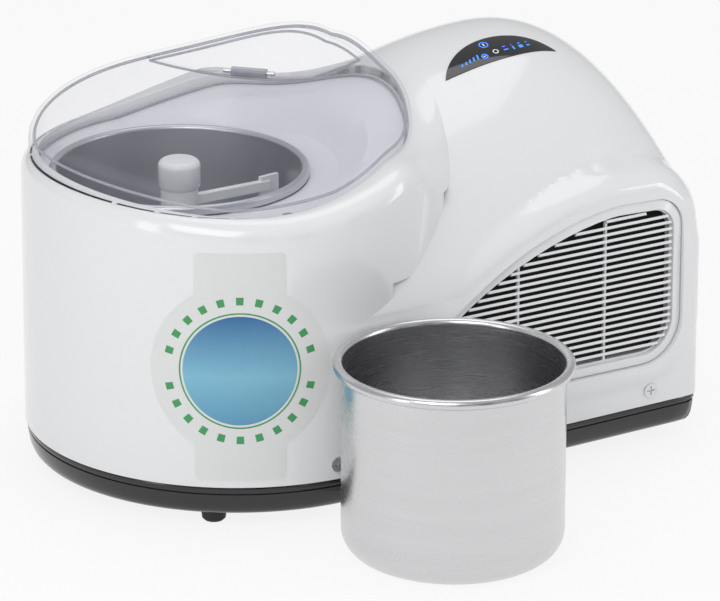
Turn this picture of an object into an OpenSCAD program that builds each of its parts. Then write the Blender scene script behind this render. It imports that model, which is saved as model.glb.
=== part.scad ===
// Compressor ice cream maker with a fixed freezing bowl, a see-through lid with a filling flap,
// and a loose steel bowl that stands in front of it. Millimetres, +Z up, user side towards -Y.
// The sketch origin is the drum axis on the table. in_frame() then moves every node, so that
// the part's origin is the middle of the whole set's footprint.

/* [Body] */
// Radius of the round drum that holds the bowl
drum_r = 138; // [130:1:150]
// Rear wall, measured from the drum axis
rear_x = 273; // [255:1:300]
// Half of the body's width at the rear wall
rear_half_w = 130; // [122:1:134]
// Radius of the upright rear corners
rear_corner_r = 12; // [8:1:20]
// Height of the seam between the tray and the housing
seam_z = 29; // [26:1:34]
// Height of the lowest point of the drum's top
valley_z = 203; // [198:1:210]
// Place of that lowest point along the body
valley_x = -45; // [-55:1:-35]
// How far the drum's nose rises above its lowest point
nose_rise = 10; // [4:1:14]
// Height of the housing's crown
crown_z = 258; // [245:1:275]
// Radius of the crown's fall to the rear wall
rear_round = 80; // [60:1:95]
// Height at which the housing's flanks start to lean in
spring_z = 132; // [115:1:145]
// Radius of the rounding round the drum's top edge
rim_round = 14; // [8:1:18]
// Wall of the housing
wall = 3; // [2:0.5:4]

/* [Lid] */
// Radius of the lid
lid_r = 119; // [112:0.5:121]
// Place of the lid's centre along the body
lid_x = -13; // [-16:1:-10]
// Wall of the lid
lid_wall = 2.5; // [2:0.5:3.5]
// Height of the lid's top over the middle of the drum
lid_top_z = 224; // [218:1:232]
// Rise of the lid's top towards the back, per millimetre
lid_tilt_y = 0.1; // [0.05:0.01:0.12]
// Rise of the lid's top towards the rear, per millimetre
lid_tilt_x = 0.084; // [0.04:0.002:0.1]
// How far the filling spout rises over the lid's top
spout_rise = 22; // [12:1:26]
// Direction of the spout from the lid's centre, in degrees
spout_turn = 45; // [35:1:55]
// Distance from the lid's centre to the flap's inner edge
flap_edge = 73; // [68:1:80]

/* [Bowls] */
// Place of the fixed bowl's axis along the body
bowl_x = -43; // [-46:1:-42]
// Inner radius of the fixed bowl
bowl_in_r = 77.5; // [70:0.5:78]
// Thickness of the fixed bowl's rim
bowl_rim_t = 5; // [3:0.5:5]
// Height of the fixed bowl's rim
bowl_rim_z = 203; // [202:1:206]
// Height of the fixed bowl's floor
bowl_floor_z = 100; // [98:1:112]
// Sheet of the fixed bowl
bowl_t = 1.5; // [1:0.1:2]
// Radius of the steel bowl's rim
pail_rim_r = 75; // [65:0.5:85]
// Radius of the steel bowl's body
pail_r = 69.5; // [60:0.5:78]
// Height of the steel bowl
pail_h = 127; // [100:1:140]
// Place of the steel bowl on the table, from the drum axis
pail_at = [28, -214]; // [-300:1:300]

/* [Drive] */
// Teeth of the output gear
out_teeth = 64; // [60:2:66]
// Teeth of the layshaft's pinion
lay_pinion_teeth = 14; // [14:1:16]
// Module of the slow gear pair
slow_module = 1; // [1:0.1:1.1]
// Teeth of the layshaft's wheel
lay_teeth = 60; // [56:2:64]
// Teeth of the motor pinion
motor_teeth = 12; // [12:1:14]
// Module of the fast gear pair
fast_module = 0.8; // [0.8:0.05:0.85]
// Radius of the drive shaft
shaft_r = 6; // [5:0.5:7]

/* [Cooling] */
// Radius of the compressor's can
can_r = 60; // [52:1:62]
// Height of the compressor's can
can_h = 132; // [110:1:140]
// Radius of the fan
fan_r = 50; // [40:1:52]
// Radius of the refrigerant pipes
pipe_r = 3; // [2.5:0.5:3.5]

/* [Grilles] */
// Distance of the grilles' faces from the middle of the body
grille_y = 132; // [128:0.5:134]
// Lower edge of the louvres
louvre_low = 67; // [60:1:75]
// Upper edge of the louvres
louvre_high = 161; // [150:1:165]
// Front tip of the louvres
louvre_x0 = 48; // [40:1:60]
// Rear edge of the louvres
louvre_x1 = 244; // [225:1:246]
// Spacing of the louvres
louvre_pitch = 4.5; // [4:0.25:8]

/* [Hidden] */
$fn = 72;
eps = 0.01;
gap = 0.3;                       // clearance between pieces that move on each other
base_z = 9;                      // underside of the tray
floor_z = 13;                    // upper face of the tray's floor
deck_z = 196.5;                  // lowest part of the deck round the bowl
deck_step = 8;                   // depth of the lid's seat below the ring round it
crown_x = rear_x - rear_round;   // where the crown's fall begins
flank_x = 20;                    // where the flanks leave the drum
flank_half_w = drum_r - 1;
box_low = [-drum_r, pail_at[1] - pail_rim_r];
box_high = [rear_x, drum_r];
frame_mid = (box_low + box_high) / 2;

// --- surfaces ------------------------------------------------------------------------------

function ease(t) = let(c = min(max(t, 0), 1)) c * c * (3 - 2 * c);

// Height of the body's ridge line along its length.
function ridge_z(x) =
    x < valley_x ? valley_z + nose_rise * pow((valley_x - x) / (drum_r + valley_x), 2)
    : x < crown_x ? valley_z + (crown_z - valley_z) * ease((x - valley_x) / (crown_x - valley_x))
    : crown_z - rear_round + sqrt(max(0, pow(rear_round, 2) - pow(min(x, rear_x) - crown_x, 2)));

// Half width of the hood at x, with the rear corner's rounding.
function hood_w(x) =
    let(w = flank_half_w + (rear_half_w - flank_half_w) * (x - flank_x) / (rear_x - flank_x))
    let(into = max(0, x - (rear_x - rear_corner_r)))
    w - rear_corner_r + sqrt(max(0, pow(rear_corner_r, 2) - pow(into, 2)));

// Height of the hood's skin: a crowned arch that springs from the flanks.
function hood_z(x, y) =
    let(u = min(abs(y) / hood_w(x), 1))
    spring_z + (ridge_z(x) - spring_z) * pow(1 - u * u, 0.71);

// The drum's top is level across the body, and turns into the hood's skin towards the rear.
function top_blend(x) = 1.03 * ease((x - 40) / 90);
function top_z(x, y) = ridge_z(x) - top_blend(x) * (ridge_z(x) - hood_z(x, y));
// The deck is flat round the bowl and follows the body's top further out.
function deck_at(x, y) =
    deck_z + max(0, top_z(x, y) - deck_step - deck_z) * ease((norm([x - bowl_x, y]) - 95) / 25);

// Height of the lid's outer skin. The spout swells towards the lid's edge.
function lid_plane(x, y) = lid_top_z + lid_tilt_y * y + lid_tilt_x * x;
function over_ring(x) = 4 + 5 * ease((valley_x - x) / 90);
function spout_swell(x, y) =
    let(px = x - lid_x, r = norm([px, y]))
    let(along = px * cos(spout_turn) + y * sin(spout_turn))
    let(turn = atan2(y, px) - (spout_turn - 22))
    spout_rise * ease((along - flap_edge) / 45) * exp(-pow(turn / 34, 2));
function lid_z(x, y) =
    let(low = max(lid_plane(x, y), top_z(x, y) + over_ring(x)))
    low + spout_swell(x, y);

// --- helpers -------------------------------------------------------------------------------

module in_frame() translate([-frame_mid[0], -frame_mid[1], 0]) children();

// Keeps a freeform skin as one piece of mesh.
module one_skin() resize([0, 0, 0]) children();

// A closed solid through rings of points that run the same way round.
module loft(rings) {
    n = len(rings[0]);
    m = len(rings);
    points = [for (ring = rings) each ring];
    sides = [
        for (k = [0:m - 2]) for (i = [0:n - 1])
            let(a = k * n + i, b = k * n + (i + 1) % n, c = b + n, d = a + n)
            each [[a, d, c], [a, c, b]]
    ];
    low_cap = [for (i = [0:n - 1]) i];
    high_cap = [for (i = [n - 1:-1:0]) (m - 1) * n + i];
    polyhedron(points, concat([low_cap], sides, [high_cap]));
}

// The two steps of a disc's rings: level lids at the middle keep the caps flat.
function disc_ring(cx, r, steps, height) =
    [for (i = [0:steps - 1]) let(a = 360 * i / steps, x = cx + r * cos(a), y = r * sin(a))
        [x, y, height(x, y)]];

// Outline of the tray and the housing's foot.
module footprint(inset) {
    hull() {
        circle(drum_r - inset, $fn = 120);
        for (s = [-1, 1])
            translate([rear_x - rear_corner_r, s * (rear_half_w - rear_corner_r)])
                circle(rear_corner_r - min(inset, rear_corner_r - 1), $fn = 32);
    }
}

// A pipe along points, with round elbows.
module pipe(points, r) {
    for (i = [0:len(points) - 2]) {
        d = points[i + 1] - points[i];
        length = norm(d);
        translate(points[i])
            rotate([0, acos(d[2] / length), atan2(d[1], d[0])])
                cylinder(r = r, h = length, $fn = 24);
    }
    for (i = [1:len(points) - 2]) translate(points[i]) sphere(r, $fn = 24);
}

module ring(r_out, r_in, h) {
    difference() {
        cylinder(r = r_out, h = h);
        translate([0, 0, -1]) cylinder(r = r_in, h = h + 2);
    }
}

// A cross-head screw that enters along -Z: the underside of its head is at z = 0.
module screw(head_r, head_h, shank_r, shank_h) {
    difference() {
        union() {
            cylinder(r = head_r, h = head_h, $fn = 24);
            translate([0, 0, -shank_h]) cylinder(r = shank_r, h = shank_h, $fn = 20);
        }
        for (a = [0, 90]) rotate([0, 0, a])
            translate([-head_r * 0.6, -0.4, head_h * 0.4]) cube([head_r * 1.2, 0.8, head_h]);
    }
}

// --- housing and tray ----------------------------------------------------------------------

module drum_solid(inset, low, steps = 96) {
    r = drum_r - inset;
    f = rim_round - inset;
    edge = [for (k = [0:5]) let(a = 18 * k) [r - f + f * cos(a), f - f * sin(a)]];
    inner = [for (q = [0.72, 0.44]) [q * r, 0]];
    rings = concat(
        [disc_ring(0, r, steps, function(x, y) low)],
        [for (e = concat(edge, inner)) disc_ring(0, e[0], steps,
            function(x, y) top_z(x * r / (r + 0.001), y) - inset - e[1])],
        [disc_ring(0, r * 0.1, steps, function(x, y) ridge_z(0) - inset)]
    );
    loft(rings);
}

function hood_section(x, w, inset, low, arch) =
    let(top = ridge_z(x) - inset - 1.2 * (1 - ease((x - 30) / 75)))
    concat(
        [[x, w, low]],
        [for (k = [0:arch]) let(a = 180 * k / arch)
            [x, w * cos(a), spring_z + (top - spring_z) * pow(sin(a), 1.42)]],
        [[x, -w, low]]
    );

module hood_solid(inset, low, arch = 40) {
    reach = rear_x - inset;
    front = [for (x = [10:15:crown_x - 6]) x];
    fall = [for (a = [0:9:81]) crown_x + rear_round * sin(a)];
    corner = [for (a = [40, 65, 90]) rear_x - rear_corner_r * (1 - sin(a))];
    stations = [for (x = concat(front, fall)) if (x < rear_x - rear_corner_r) x];
    rings = concat(
        [for (x = stations) hood_section(x, hood_w(x) - inset, inset, low, arch)],
        [for (x = corner) hood_section(min(x, reach), hood_w(x) - inset, inset, low, arch)]
    );
    loft([for (i = [0:len(rings) - 1]) if (i == 0 || rings[i][0][0] > rings[i - 1][0][0]) rings[i]]);
}

// The lid's seat: a dish in the drum's top, grown by `grow` to leave a wall round it.
module seat_solid(grow, steps = 96) {
    r = lid_r + 0.5 + grow;
    rings = concat(
        [disc_ring(lid_x, r * 0.1, steps, function(x, y) deck_z - grow)],
        [for (q = [0.4, 0.58, 0.66, 0.73, 0.8, 0.87, 0.93, 1]) disc_ring(lid_x, r * q, steps,
            function(x, y) deck_at(x, y) - grow)],
        [disc_ring(lid_x, r, steps, function(x, y) crown_z + 40)]
    );
    loft(rings);
}

// Outline of the louvres, seen along Y, as [x, z] points.
function louvre_outline() =
    let(cx = louvre_x1 - 39, a = cx - louvre_x0, b = louvre_high - louvre_low, n = 1.55)
    let(low_r = 20, high_r = 12)
    concat(
        [for (t = [0:9:90]) [cx - a * pow(cos(t), 2 / n), louvre_low + b * pow(sin(t), 2 / n)]],
        [for (t = [90:-15:0])
            [louvre_x1 - high_r * (1 - cos(t)), louvre_high - high_r * (1 - sin(t)) - 1]],
        [for (t = [0:-15:-90])
            [louvre_x1 - low_r * (1 - cos(t)), louvre_low + low_r * (1 + sin(t))]]
    );

frame_w = 9;                     // width of a grille's frame
frame_t = 3;                     // thickness of a grille's frame

module louvre_slab(side, grow, y0, y1) {
    scale_y = side;
    translate([0, scale_y * (scale_y > 0 ? y1 : y0), 0]) rotate([90, 0, 0])
        linear_extrude(height = y1 - y0) offset(delta = grow, $fn = 32) polygon(louvre_outline());
}

// The raised wheel-arch round a grille.
module fender(side) {
    hull() for (k = [[13, 0, 1], [18, 3, 4], [22, 9, 10], [24, 20, 30]])
        louvre_slab(side, k[0], grille_y - k[2], grille_y - k[1]);
}

module outer_solid() {
    drum_solid(0, seam_z);
    hood_solid(0, seam_z);
    intersection() {
        union() for (side = [-1, 1]) fender(side);
        translate([0, 0, seam_z]) linear_extrude(height = crown_z) footprint(-0.5);
    }
}

module inner_solid() {
    drum_solid(wall, seam_z - 1, 48);
    hood_solid(wall, seam_z - 1, 20);
}

screw_spots = [[-9, -1], [231, -1], [-9, 1], [231, 1]];
screw_z = seam_z + 10;

// Places a child on the flank at x, its +Z axis pointing out of the wall.
module on_flank(x, side) {
    on_drum = x < flank_x;
    y = on_drum ? sqrt(drum_r * drum_r - x * x)
        : flank_half_w + (rear_half_w - flank_half_w) * (x - flank_x) / (rear_x - flank_x);
    turn = on_drum ? atan2(side * y, x) : side * 90;
    translate([x, side * y, screw_z]) rotate([0, 0, turn]) rotate([0, 90, 0]) children();
}

// Wedge-shaped half moon of the control window, seen from above.
window_mid = [172, -41];         // middle of its straight edge
window_half = 42;
window_deep = 23;
window_turn = 0;

module window_shape(grow) {
    translate(window_mid) rotate([0, 0, window_turn]) intersection() {
        scale_r = (window_half * window_half + window_deep * window_deep) / (2 * window_deep);
        translate([0, window_deep - scale_r]) circle(scale_r + grow, $fn = 96);
        translate([-window_half - grow, -grow])
            square([2 * (window_half + grow), window_deep + 2 * grow]);
    }
}

module housing() in_frame() color([0.93, 0.93, 0.93]) {
    one_skin() difference() {
        outer_solid();
        difference() {
            inner_solid();
            seat_solid(wall, 48);
        }
        seat_solid(0);
        translate([bowl_x, 0, deck_z - 40]) cylinder(r = bowl_in_r + bowl_t + 1.5, h = 60);
        for (side = [-1, 1]) {
            louvre_slab(side, frame_w + gap, grille_y - frame_t, grille_y + 8);
            louvre_slab(side, 1, grille_y - 40, grille_y + 8);
        }
        translate([0, 0, crown_z - 30]) linear_extrude(height = 40) window_shape(-4);
        difference() {
            translate([0, 0, crown_z - 30]) linear_extrude(height = 40) window_shape(0.2);
            hood_solid(1.6, seam_z);
        }
        for (s = screw_spots) on_flank(s[0], s[1]) translate([0, 0, -8])
            cylinder(r = 2.2, h = 16, $fn = 24);
        for (s = screw_spots) on_flank(s[0], s[1]) translate([0, 0, -0.8])
            cylinder(r = 5.2, h = 16, $fn = 32);
    }
}

module base_tray() in_frame() color([0.05, 0.05, 0.055]) {
    skirt = 6;
    difference() {
        union() {
            hull() {
                translate([0, 0, base_z]) linear_extrude(height = eps) footprint(skirt + 2);
                translate([0, 0, base_z + 4]) linear_extrude(height = eps) footprint(4);
                translate([0, 0, base_z + 11]) linear_extrude(height = eps) footprint(1.5);
            }
            translate([0, 0, base_z + 11]) linear_extrude(height = seam_z - base_z - 11)
                footprint(1);
            translate([0, 0, seam_z - eps]) linear_extrude(height = 20) footprint(wall + 0.9);
        }
        translate([0, 0, floor_z]) linear_extrude(height = 60) footprint(wall + 4.4);
        for (s = screw_spots) on_flank(s[0], s[1]) translate([0, 0, -14])
            cylinder(r = 1.6, h = 16, $fn = 24);
        translate([rear_x - 12, gland_y, gland_z]) rotate([0, 90, 0])
            cylinder(r = 7, h = 20, $fn = 32);
        translate([rear_x - 4.2, gland_y, gland_z]) rotate([0, 90, 0])
            cylinder(r = 8.2, h = 20, $fn = 32);
    }
    for (p = gearbox_posts) translate([p[0], p[1], floor_z - 1]) difference() {
        cylinder(r = 6, h = gearbox_z - floor_z + 1, $fn = 32);
        translate([0, 0, gearbox_z - floor_z - 12]) cylinder(r = 2.05, h = 20, $fn = 24);
    }
    for (p = can_feet) translate([p[0], p[1], floor_z - 1]) cylinder(r = 9, h = 4, $fn = 32);
    for (p = board_spots) translate([p[0], p[1], floor_z - 1]) cylinder(r = 5, h = 8, $fn = 32);
}

foot_spots = [[-73, -93], [-73, 93], [238, -90], [238, 90]];
foot_h = base_z;

module feet() in_frame() color([0.03, 0.03, 0.03]) {
    for (p = foot_spots) translate([p[0], p[1], 0]) rotate_extrude($fn = 48)
        polygon([[0, 0], [6, 0], [7.5, 1.5], [8.5, foot_h], [0, foot_h]]);
}

module housing_screws() in_frame() color([0.8, 0.81, 0.82]) {
    for (s = screw_spots) on_flank(s[0], s[1]) translate([0, 0, -0.8])
        screw(4.8, 2, 1.5, 8);
}

module grille(side) {
    y0 = grille_y - frame_t;
    render_y = side;
    difference() {
        louvre_slab(render_y, frame_w, y0, grille_y - 0.4);
        louvre_slab(render_y, 0, y0 - 5, grille_y + 5);
    }
    translate([0, render_y * (render_y > 0 ? grille_y - 1 : y0 - 3), 0]) rotate([90, 0, 0])
        linear_extrude(height = frame_t + 2) intersection() {
            offset(delta = 0.5) polygon(louvre_outline());
            union() {
                for (z = [louvre_low + louvre_pitch - 1.5:louvre_pitch:louvre_high])
                    translate([louvre_x0 - 10, z]) square([louvre_x1 - louvre_x0 + 20, 1.5]);
                for (x = [129, 195]) translate([x, louvre_low - 2])
                    square([1.6, louvre_high - louvre_low + 4]);
            }
        }
}

module front_grille() in_frame() color([0.86, 0.86, 0.86]) grille(-1);
module back_grille() in_frame() color([0.86, 0.86, 0.86]) grille(1);

module control_window() in_frame() color([0.02, 0.02, 0.025]) {
    one_skin() intersection() {
        translate([0, 0, crown_z - 30]) linear_extrude(height = 40) window_shape(0);
        difference() {
            hood_solid(0, seam_z);
            hood_solid(1.6, seam_z - 1);
        }
    }
}

board_z = hood_z(window_mid[0], window_mid[1] - 2) - 12;

module display_board() in_frame() color([0.05, 0.25, 0.15]) {
    translate([0, 0, board_z]) linear_extrude(height = 1.6) window_shape(-6);
    for (x = [-12:6:12]) translate([window_mid[0] + x - 2, window_mid[1] + 8.5, board_z + 1.6])
        cube([4, 4, 2]);
    for (x = [-22, 22]) translate([window_mid[0] + x, window_mid[1] + 9, board_z + 1.6])
        cylinder(r = 1.8, h = hood_z(window_mid[0] + x, window_mid[1] + 8) - board_z - 4.6,
            $fn = 24);
}

label_turn = 240;                // where the label faces, from the drum's axis
module front_label() in_frame() color([0.9, 0.92, 0.9]) {
    disc_r = 54.5;
    tab_w = 57;
    intersection() {
        translate([0, 0, seam_z + 3]) difference() {
            cylinder(r = drum_r + 0.35, h = 152, $fn = 180);
            translate([0, 0, -1]) cylinder(r = drum_r + 0.05, h = 160, $fn = 180);
        }
        rotate([0, 0, label_turn]) rotate([0, 90, 0]) linear_extrude(height = drum_r + 10) union() {
            translate([-(seam_z + 78), 0]) circle(disc_r, $fn = 96);
            translate([-(seam_z + 152), -tab_w / 2]) square([148, tab_w]);
        }
    }
}

// --- bowls ---------------------------------------------------------------------------------

spigot_top = 150;
spigot_r = shaft_r + 2.2;
rim_low_z = deck_z + 1;
rim_out_r = bowl_in_r + bowl_rim_t;

module fixed_bowl() in_frame() color([0.72, 0.73, 0.76]) {
    out = bowl_in_r + bowl_t;
    low = bowl_floor_z - bowl_t;
    bend = 12;
    inner_arc = [for (a = [0:15:90])
        [bowl_in_r - bend + bend * cos(a), bowl_floor_z + bend - bend * sin(a)]];
    outer_arc = [for (a = [90:-15:0])
        [out - bend + bend * cos(a), low + bend - bend * sin(a)]];
    lip = [for (a = [0:30:180])
        [rim_out_r - bowl_rim_t / 2 + bowl_rim_t / 2 * cos(a),
            bowl_rim_z - bowl_rim_t / 2 + bowl_rim_t / 2 * sin(a)]];
    translate([bowl_x, 0, 0]) rotate_extrude($fn = 120) polygon(concat(
        [[shaft_r + 0.05, low], [shaft_r + 0.05, spigot_top], [spigot_r, spigot_top],
            [spigot_r, bowl_floor_z]],
        [for (i = [len(inner_arc) - 1:-1:0]) inner_arc[i]],
        [for (i = [len(lip) - 1:-1:0]) lip[i]],
        [[rim_out_r, rim_low_z], [out, rim_low_z]],
        [for (i = [len(outer_arc) - 1:-1:0]) outer_arc[i]]
    ));
}

module bowl_seal() in_frame() color([0.75, 0.75, 0.75])
    translate([bowl_x, 0, deck_z + 0.3]) ring(rim_out_r - 1.5, bowl_in_r + bowl_t + 1.6, 0.7);

coil_r = bowl_in_r + bowl_t + pipe_r + 0.85;
coil_low = bowl_floor_z + 18;
coil_turns = 6;
coil_pitch = 9.6;

module evaporator_coil() in_frame() color([0.72, 0.45, 0.28]) {
    per_turn = 24;
    sides = 8;
    loft([for (k = [0:coil_turns * per_turn]) let(a = 360 * k / per_turn)
        [for (i = [0:sides - 1]) let(b = 360 * i / sides + 22.5, q = coil_r - pipe_r * cos(b) * 0.98)
            [bowl_x + q * cos(a), q * sin(a),
                coil_low + coil_pitch * k / per_turn + pipe_r * 0.98 * sin(b)]]]);
}

foam_x = -27;
foam_r = 105;
module bowl_insulation() in_frame() color([0.93, 0.88, 0.7]) {
    low = bowl_floor_z + 4;
    difference() {
        translate([foam_x, 0, low]) cylinder(r = foam_r, h = deck_z - wall - 2 - low);
        translate([bowl_x, 0, low - 1]) cylinder(r = coil_r + pipe_r + 0.2, h = 120);
        translate([bowl_x + coil_r - 1, -16, low - 1]) cube([90, 32, 120]);
    }
}

module removable_bowl() in_frame() color([0.78, 0.78, 0.79]) {
    t = 1;
    bend = 17;
    roll = (pail_rim_r - pail_r + t) / 2;
    outer_arc = [for (a = [90:-10:0])
        [pail_r - bend + bend * cos(a), bend - bend * sin(a)]];
    inner_arc = [for (a = [0:10:90])
        [pail_r - bend + (bend - t) * cos(a), bend - (bend - t) * sin(a)]];
    flange = [for (a = [-80:20:180])
        [pail_rim_r - roll + roll * cos(a), pail_h - roll + roll * sin(a)]];
    translate([pail_at[0], pail_at[1], 0]) rotate_extrude($fn = 120) polygon(concat(
        [[0, 0]], outer_arc, [[pail_r, pail_h - 2 * roll]], flange,
        inner_arc, [[0, t]]
    ));
}

// --- drive ---------------------------------------------------------------------------------

slow_out_r = out_teeth * slow_module / 2;
slow_lay_r = lay_pinion_teeth * slow_module / 2;
fast_lay_r = lay_teeth * fast_module / 2;
fast_motor_r = motor_teeth * fast_module / 2;
lay_x = bowl_x + slow_out_r + slow_lay_r;
motor_x = lay_x + fast_lay_r + fast_motor_r;
gearbox_z = 54;                  // underside of the gearbox
case_t = 4;
case_h = 34;
slow_z = gearbox_z + case_t + 2; // lower face of the slow pair
slow_h = 10;
fast_z = slow_z + slow_h + 2;
fast_h = 7;
gearbox_top = gearbox_z + case_h;
gearbox_posts = [for (x = [bowl_x - 30, motor_x + 13], y = [-1, 1]) [x, y * (x < 0 ? 34 : 40)]];

// A spur gear with straight-sided teeth; a tooth points along +X unless it is turned.
module gear(teeth, mod, h, turn) {
    rp = teeth * mod / 2;
    p = 360 / teeth;
    rotate([0, 0, turn]) linear_extrude(height = h) polygon([
        for (i = [0:teeth - 1]) each [for (q = [[-0.28, -1.2], [-0.1, 0.85], [0.1, 0.85], [0.28, -1.2]])
            (rp + q[1] * mod) * [cos(p * (i + q[0])), sin(p * (i + q[0]))]]
    ]);
}

module gearbox_plan(grow) {
    hull() {
        translate([bowl_x, 0]) circle(slow_out_r + 4 + grow, $fn = 64);
        translate([lay_x, 0]) circle(fast_lay_r + 4 + grow, $fn = 48);
        translate([motor_x, 0]) circle(fast_motor_r + 4 + grow, $fn = 32);
    }
    for (p = gearbox_posts) {
        translate(p) circle(6, $fn = 24);
        translate([p[0] - 6, min(p[1], 0)]) square([12, abs(p[1])]);
    }
}

module gearbox_case() in_frame() color([0.75, 0.76, 0.78]) {
    difference() {
        translate([0, 0, gearbox_z]) linear_extrude(height = case_h - case_t) gearbox_plan(3);
        translate([0, 0, gearbox_z + case_t]) linear_extrude(height = case_h) hull() {
            translate([bowl_x, 0]) circle(slow_out_r + 2.5, $fn = 64);
            translate([lay_x, 0]) circle(fast_lay_r + 2.5, $fn = 48);
            translate([motor_x, 0]) circle(fast_motor_r + 2.5, $fn = 32);
        }
        translate([bowl_x, 0, gearbox_z - 1]) cylinder(r = shaft_r + 0.05, h = 10);
        translate([lay_x, 0, gearbox_z - 1]) cylinder(r = 3.05, h = 10);
        translate([motor_x, 0, gearbox_z - 1]) cylinder(r = 2.55, h = 10, $fn = 32);
        for (p = gearbox_posts) translate([p[0], p[1], gearbox_z - 1])
            cylinder(r = 2.2, h = case_h + 2, $fn = 24);
    }
}

module gearbox_cover() in_frame() color([0.8, 0.81, 0.82]) {
    z = gearbox_top - case_t;
    difference() {
        union() {
            translate([0, 0, z]) linear_extrude(height = case_t) gearbox_plan(3);
            translate([bowl_x, 0, z]) cylinder(r = 16, h = bowl_floor_z - bowl_t - z);
        }
        translate([bowl_x, 0, z - 1]) cylinder(r = shaft_r + 2, h = 40);
        translate([bowl_x, 0, bowl_floor_z - bowl_t - 4]) cylinder(r = shaft_r + 5, h = 10);
        translate([lay_x, 0, z - 1]) cylinder(r = 3.05, h = 10);
        for (p = gearbox_posts) translate([p[0], p[1], z - 1]) cylinder(r = 2.2, h = 10, $fn = 24);
    }
}

module gearbox_screws() in_frame() color([0.7, 0.7, 0.72])
    for (p = gearbox_posts) translate([p[0], p[1], gearbox_top]) screw(4, 2.2, 2, case_h + 9);

module shaft_bush() in_frame() color([0.75, 0.55, 0.3])
    translate([bowl_x, 0, gearbox_top - case_t])
        ring(shaft_r + 2, shaft_r + 0.05, bowl_floor_z - bowl_t - 4 - gearbox_top + case_t);

module shaft_seal() in_frame() color([0.1, 0.1, 0.1])
    translate([bowl_x, 0, bowl_floor_z - bowl_t - 4]) ring(shaft_r + 5, shaft_r + 0.05, 4);

square_top = 184;                // top of the shaft's square
square_w = 8;
stud_top = 198;                  // top of the knob's stud

module drive_shaft() in_frame() color([0.8, 0.8, 0.82]) translate([bowl_x, 0, 0]) {
    translate([0, 0, gearbox_z]) cylinder(r = shaft_r, h = spigot_top + 2 - gearbox_z);
    translate([-square_w / 2, -square_w / 2, spigot_top + 2 - eps])
        cube([square_w, square_w, square_top - spigot_top - 2 + eps]);
    translate([0, 0, square_top - eps]) cylinder(r = 2.5, h = stud_top - square_top, $fn = 32);
}

module output_gear() in_frame() color([0.9, 0.9, 0.86]) translate([bowl_x, 0, slow_z]) {
    difference() {
        union() {
            gear(out_teeth, slow_module, slow_h, 0);
            translate([0, 0, -1.5]) cylinder(r = shaft_r + 4, h = slow_h + 3);
        }
        translate([0, 0, -5]) cylinder(r = shaft_r, h = slow_h + 10);
        for (a = [0:60:300]) rotate([0, 0, a]) translate([slow_out_r * 0.62, 0, -1])
            cylinder(r = 5, h = slow_h + 2, $fn = 32);
    }
}

module layshaft_gear() in_frame() color([0.88, 0.88, 0.84]) translate([lay_x, 0, 0]) {
    translate([0, 0, gearbox_z + 0.5]) cylinder(r = 3, h = case_h - 1);
    translate([0, 0, slow_z])
        gear(lay_pinion_teeth, slow_module, fast_z - slow_z + eps, 180 - 180 / lay_pinion_teeth);
    translate([0, 0, fast_z]) gear(lay_teeth, fast_module, fast_h, 0);
}

stator_z = floor_z + 6;
stator_half = 26;
rotor_r = 14;

module motor_stator() in_frame() color([0.45, 0.45, 0.47]) translate([motor_x, 0, stator_z])
    difference() {
        translate([-stator_half, -stator_half, 0])
            cube([2 * stator_half, 2 * stator_half, gearbox_z - stator_z]);
        translate([0, 0, -1]) cylinder(r = rotor_r + 0.5, h = 80);
        translate([-stator_half - 1, -stator_half + 8, 6])
            cube([12, 2 * stator_half - 16, gearbox_z - stator_z - 12]);
    }

module motor_winding() in_frame() color([0.7, 0.35, 0.15])
    translate([motor_x - stator_half, -stator_half + 8.5, stator_z + 6.5])
        cube([9.5, 2 * stator_half - 17, gearbox_z - stator_z - 13]);

module motor_bridge() in_frame() color([0.7, 0.7, 0.72]) translate([motor_x, 0, floor_z])
    difference() {
        translate([-20, -stator_half, 0]) cube([40, 2 * stator_half, stator_z - floor_z]);
        translate([0, 0, 1.5]) cylinder(r = 2.55, h = 20, $fn = 32);
        translate([0, 0, 4.5]) cylinder(r = 11, h = 20, $fn = 48);
    }

module motor_rotor() in_frame() color([0.55, 0.55, 0.58]) translate([motor_x, 0, 0]) {
    translate([0, 0, stator_z + 3]) cylinder(r = rotor_r, h = gearbox_z - stator_z - 6);
    translate([0, 0, floor_z + 1.8])
        cylinder(r = 2.5, h = fast_z + fast_h + 1 - floor_z - 1.8, $fn = 32);
    translate([0, 0, fast_z - 1])
        gear(motor_teeth, fast_module, fast_h + 2, 180 - 180 / motor_teeth);
}

// --- paddle --------------------------------------------------------------------------------

hub_r = 13.5;
hub_low = bowl_floor_z + 3.5;
blade_low = bowl_floor_z + 3;
blade_high = 184;
blade_reach = bowl_in_r - 2;

module blade(reach, low, high, lean) {
    translate([reach - 16, -1.6, low]) rotate([0, 0, lean]) cube([14, 3.2, high - low]);
}

module paddle() in_frame() color([0.95, 0.95, 0.96]) translate([bowl_x, 0, 0]) {
    difference() {
        union() {
            translate([0, 0, hub_low]) cylinder(r = hub_r - 1.5, h = square_top + 4 - hub_low);
            translate([0, -3, blade_low + 1]) cube([blade_reach - 6, 6, 7]);
            translate([-blade_reach + 34, -3, blade_low + 1]) cube([blade_reach - 34, 6, 7]);
            translate([0, -2.5, blade_high - 9]) cube([blade_reach - 10, 5, 6]);
        }
        translate([0, 0, hub_low - 1]) cylinder(r = spigot_r + 0.5, h = spigot_top + 3.5 - hub_low);
        translate([-square_w / 2 - 0.15, -square_w / 2 - 0.15, spigot_top])
            cube([square_w + 0.3, square_w + 0.3, square_top + 0.5 - spigot_top]);
        translate([0, 0, square_top]) cylinder(r = 2.8, h = 20, $fn = 32);
    }
    translate([0, 0, 0]) blade(blade_reach, blade_low + 2, blade_high, 8);
    rotate([0, 0, 180]) blade(blade_reach - 26, blade_low + 2, blade_low + 52, 8);
}

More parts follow.
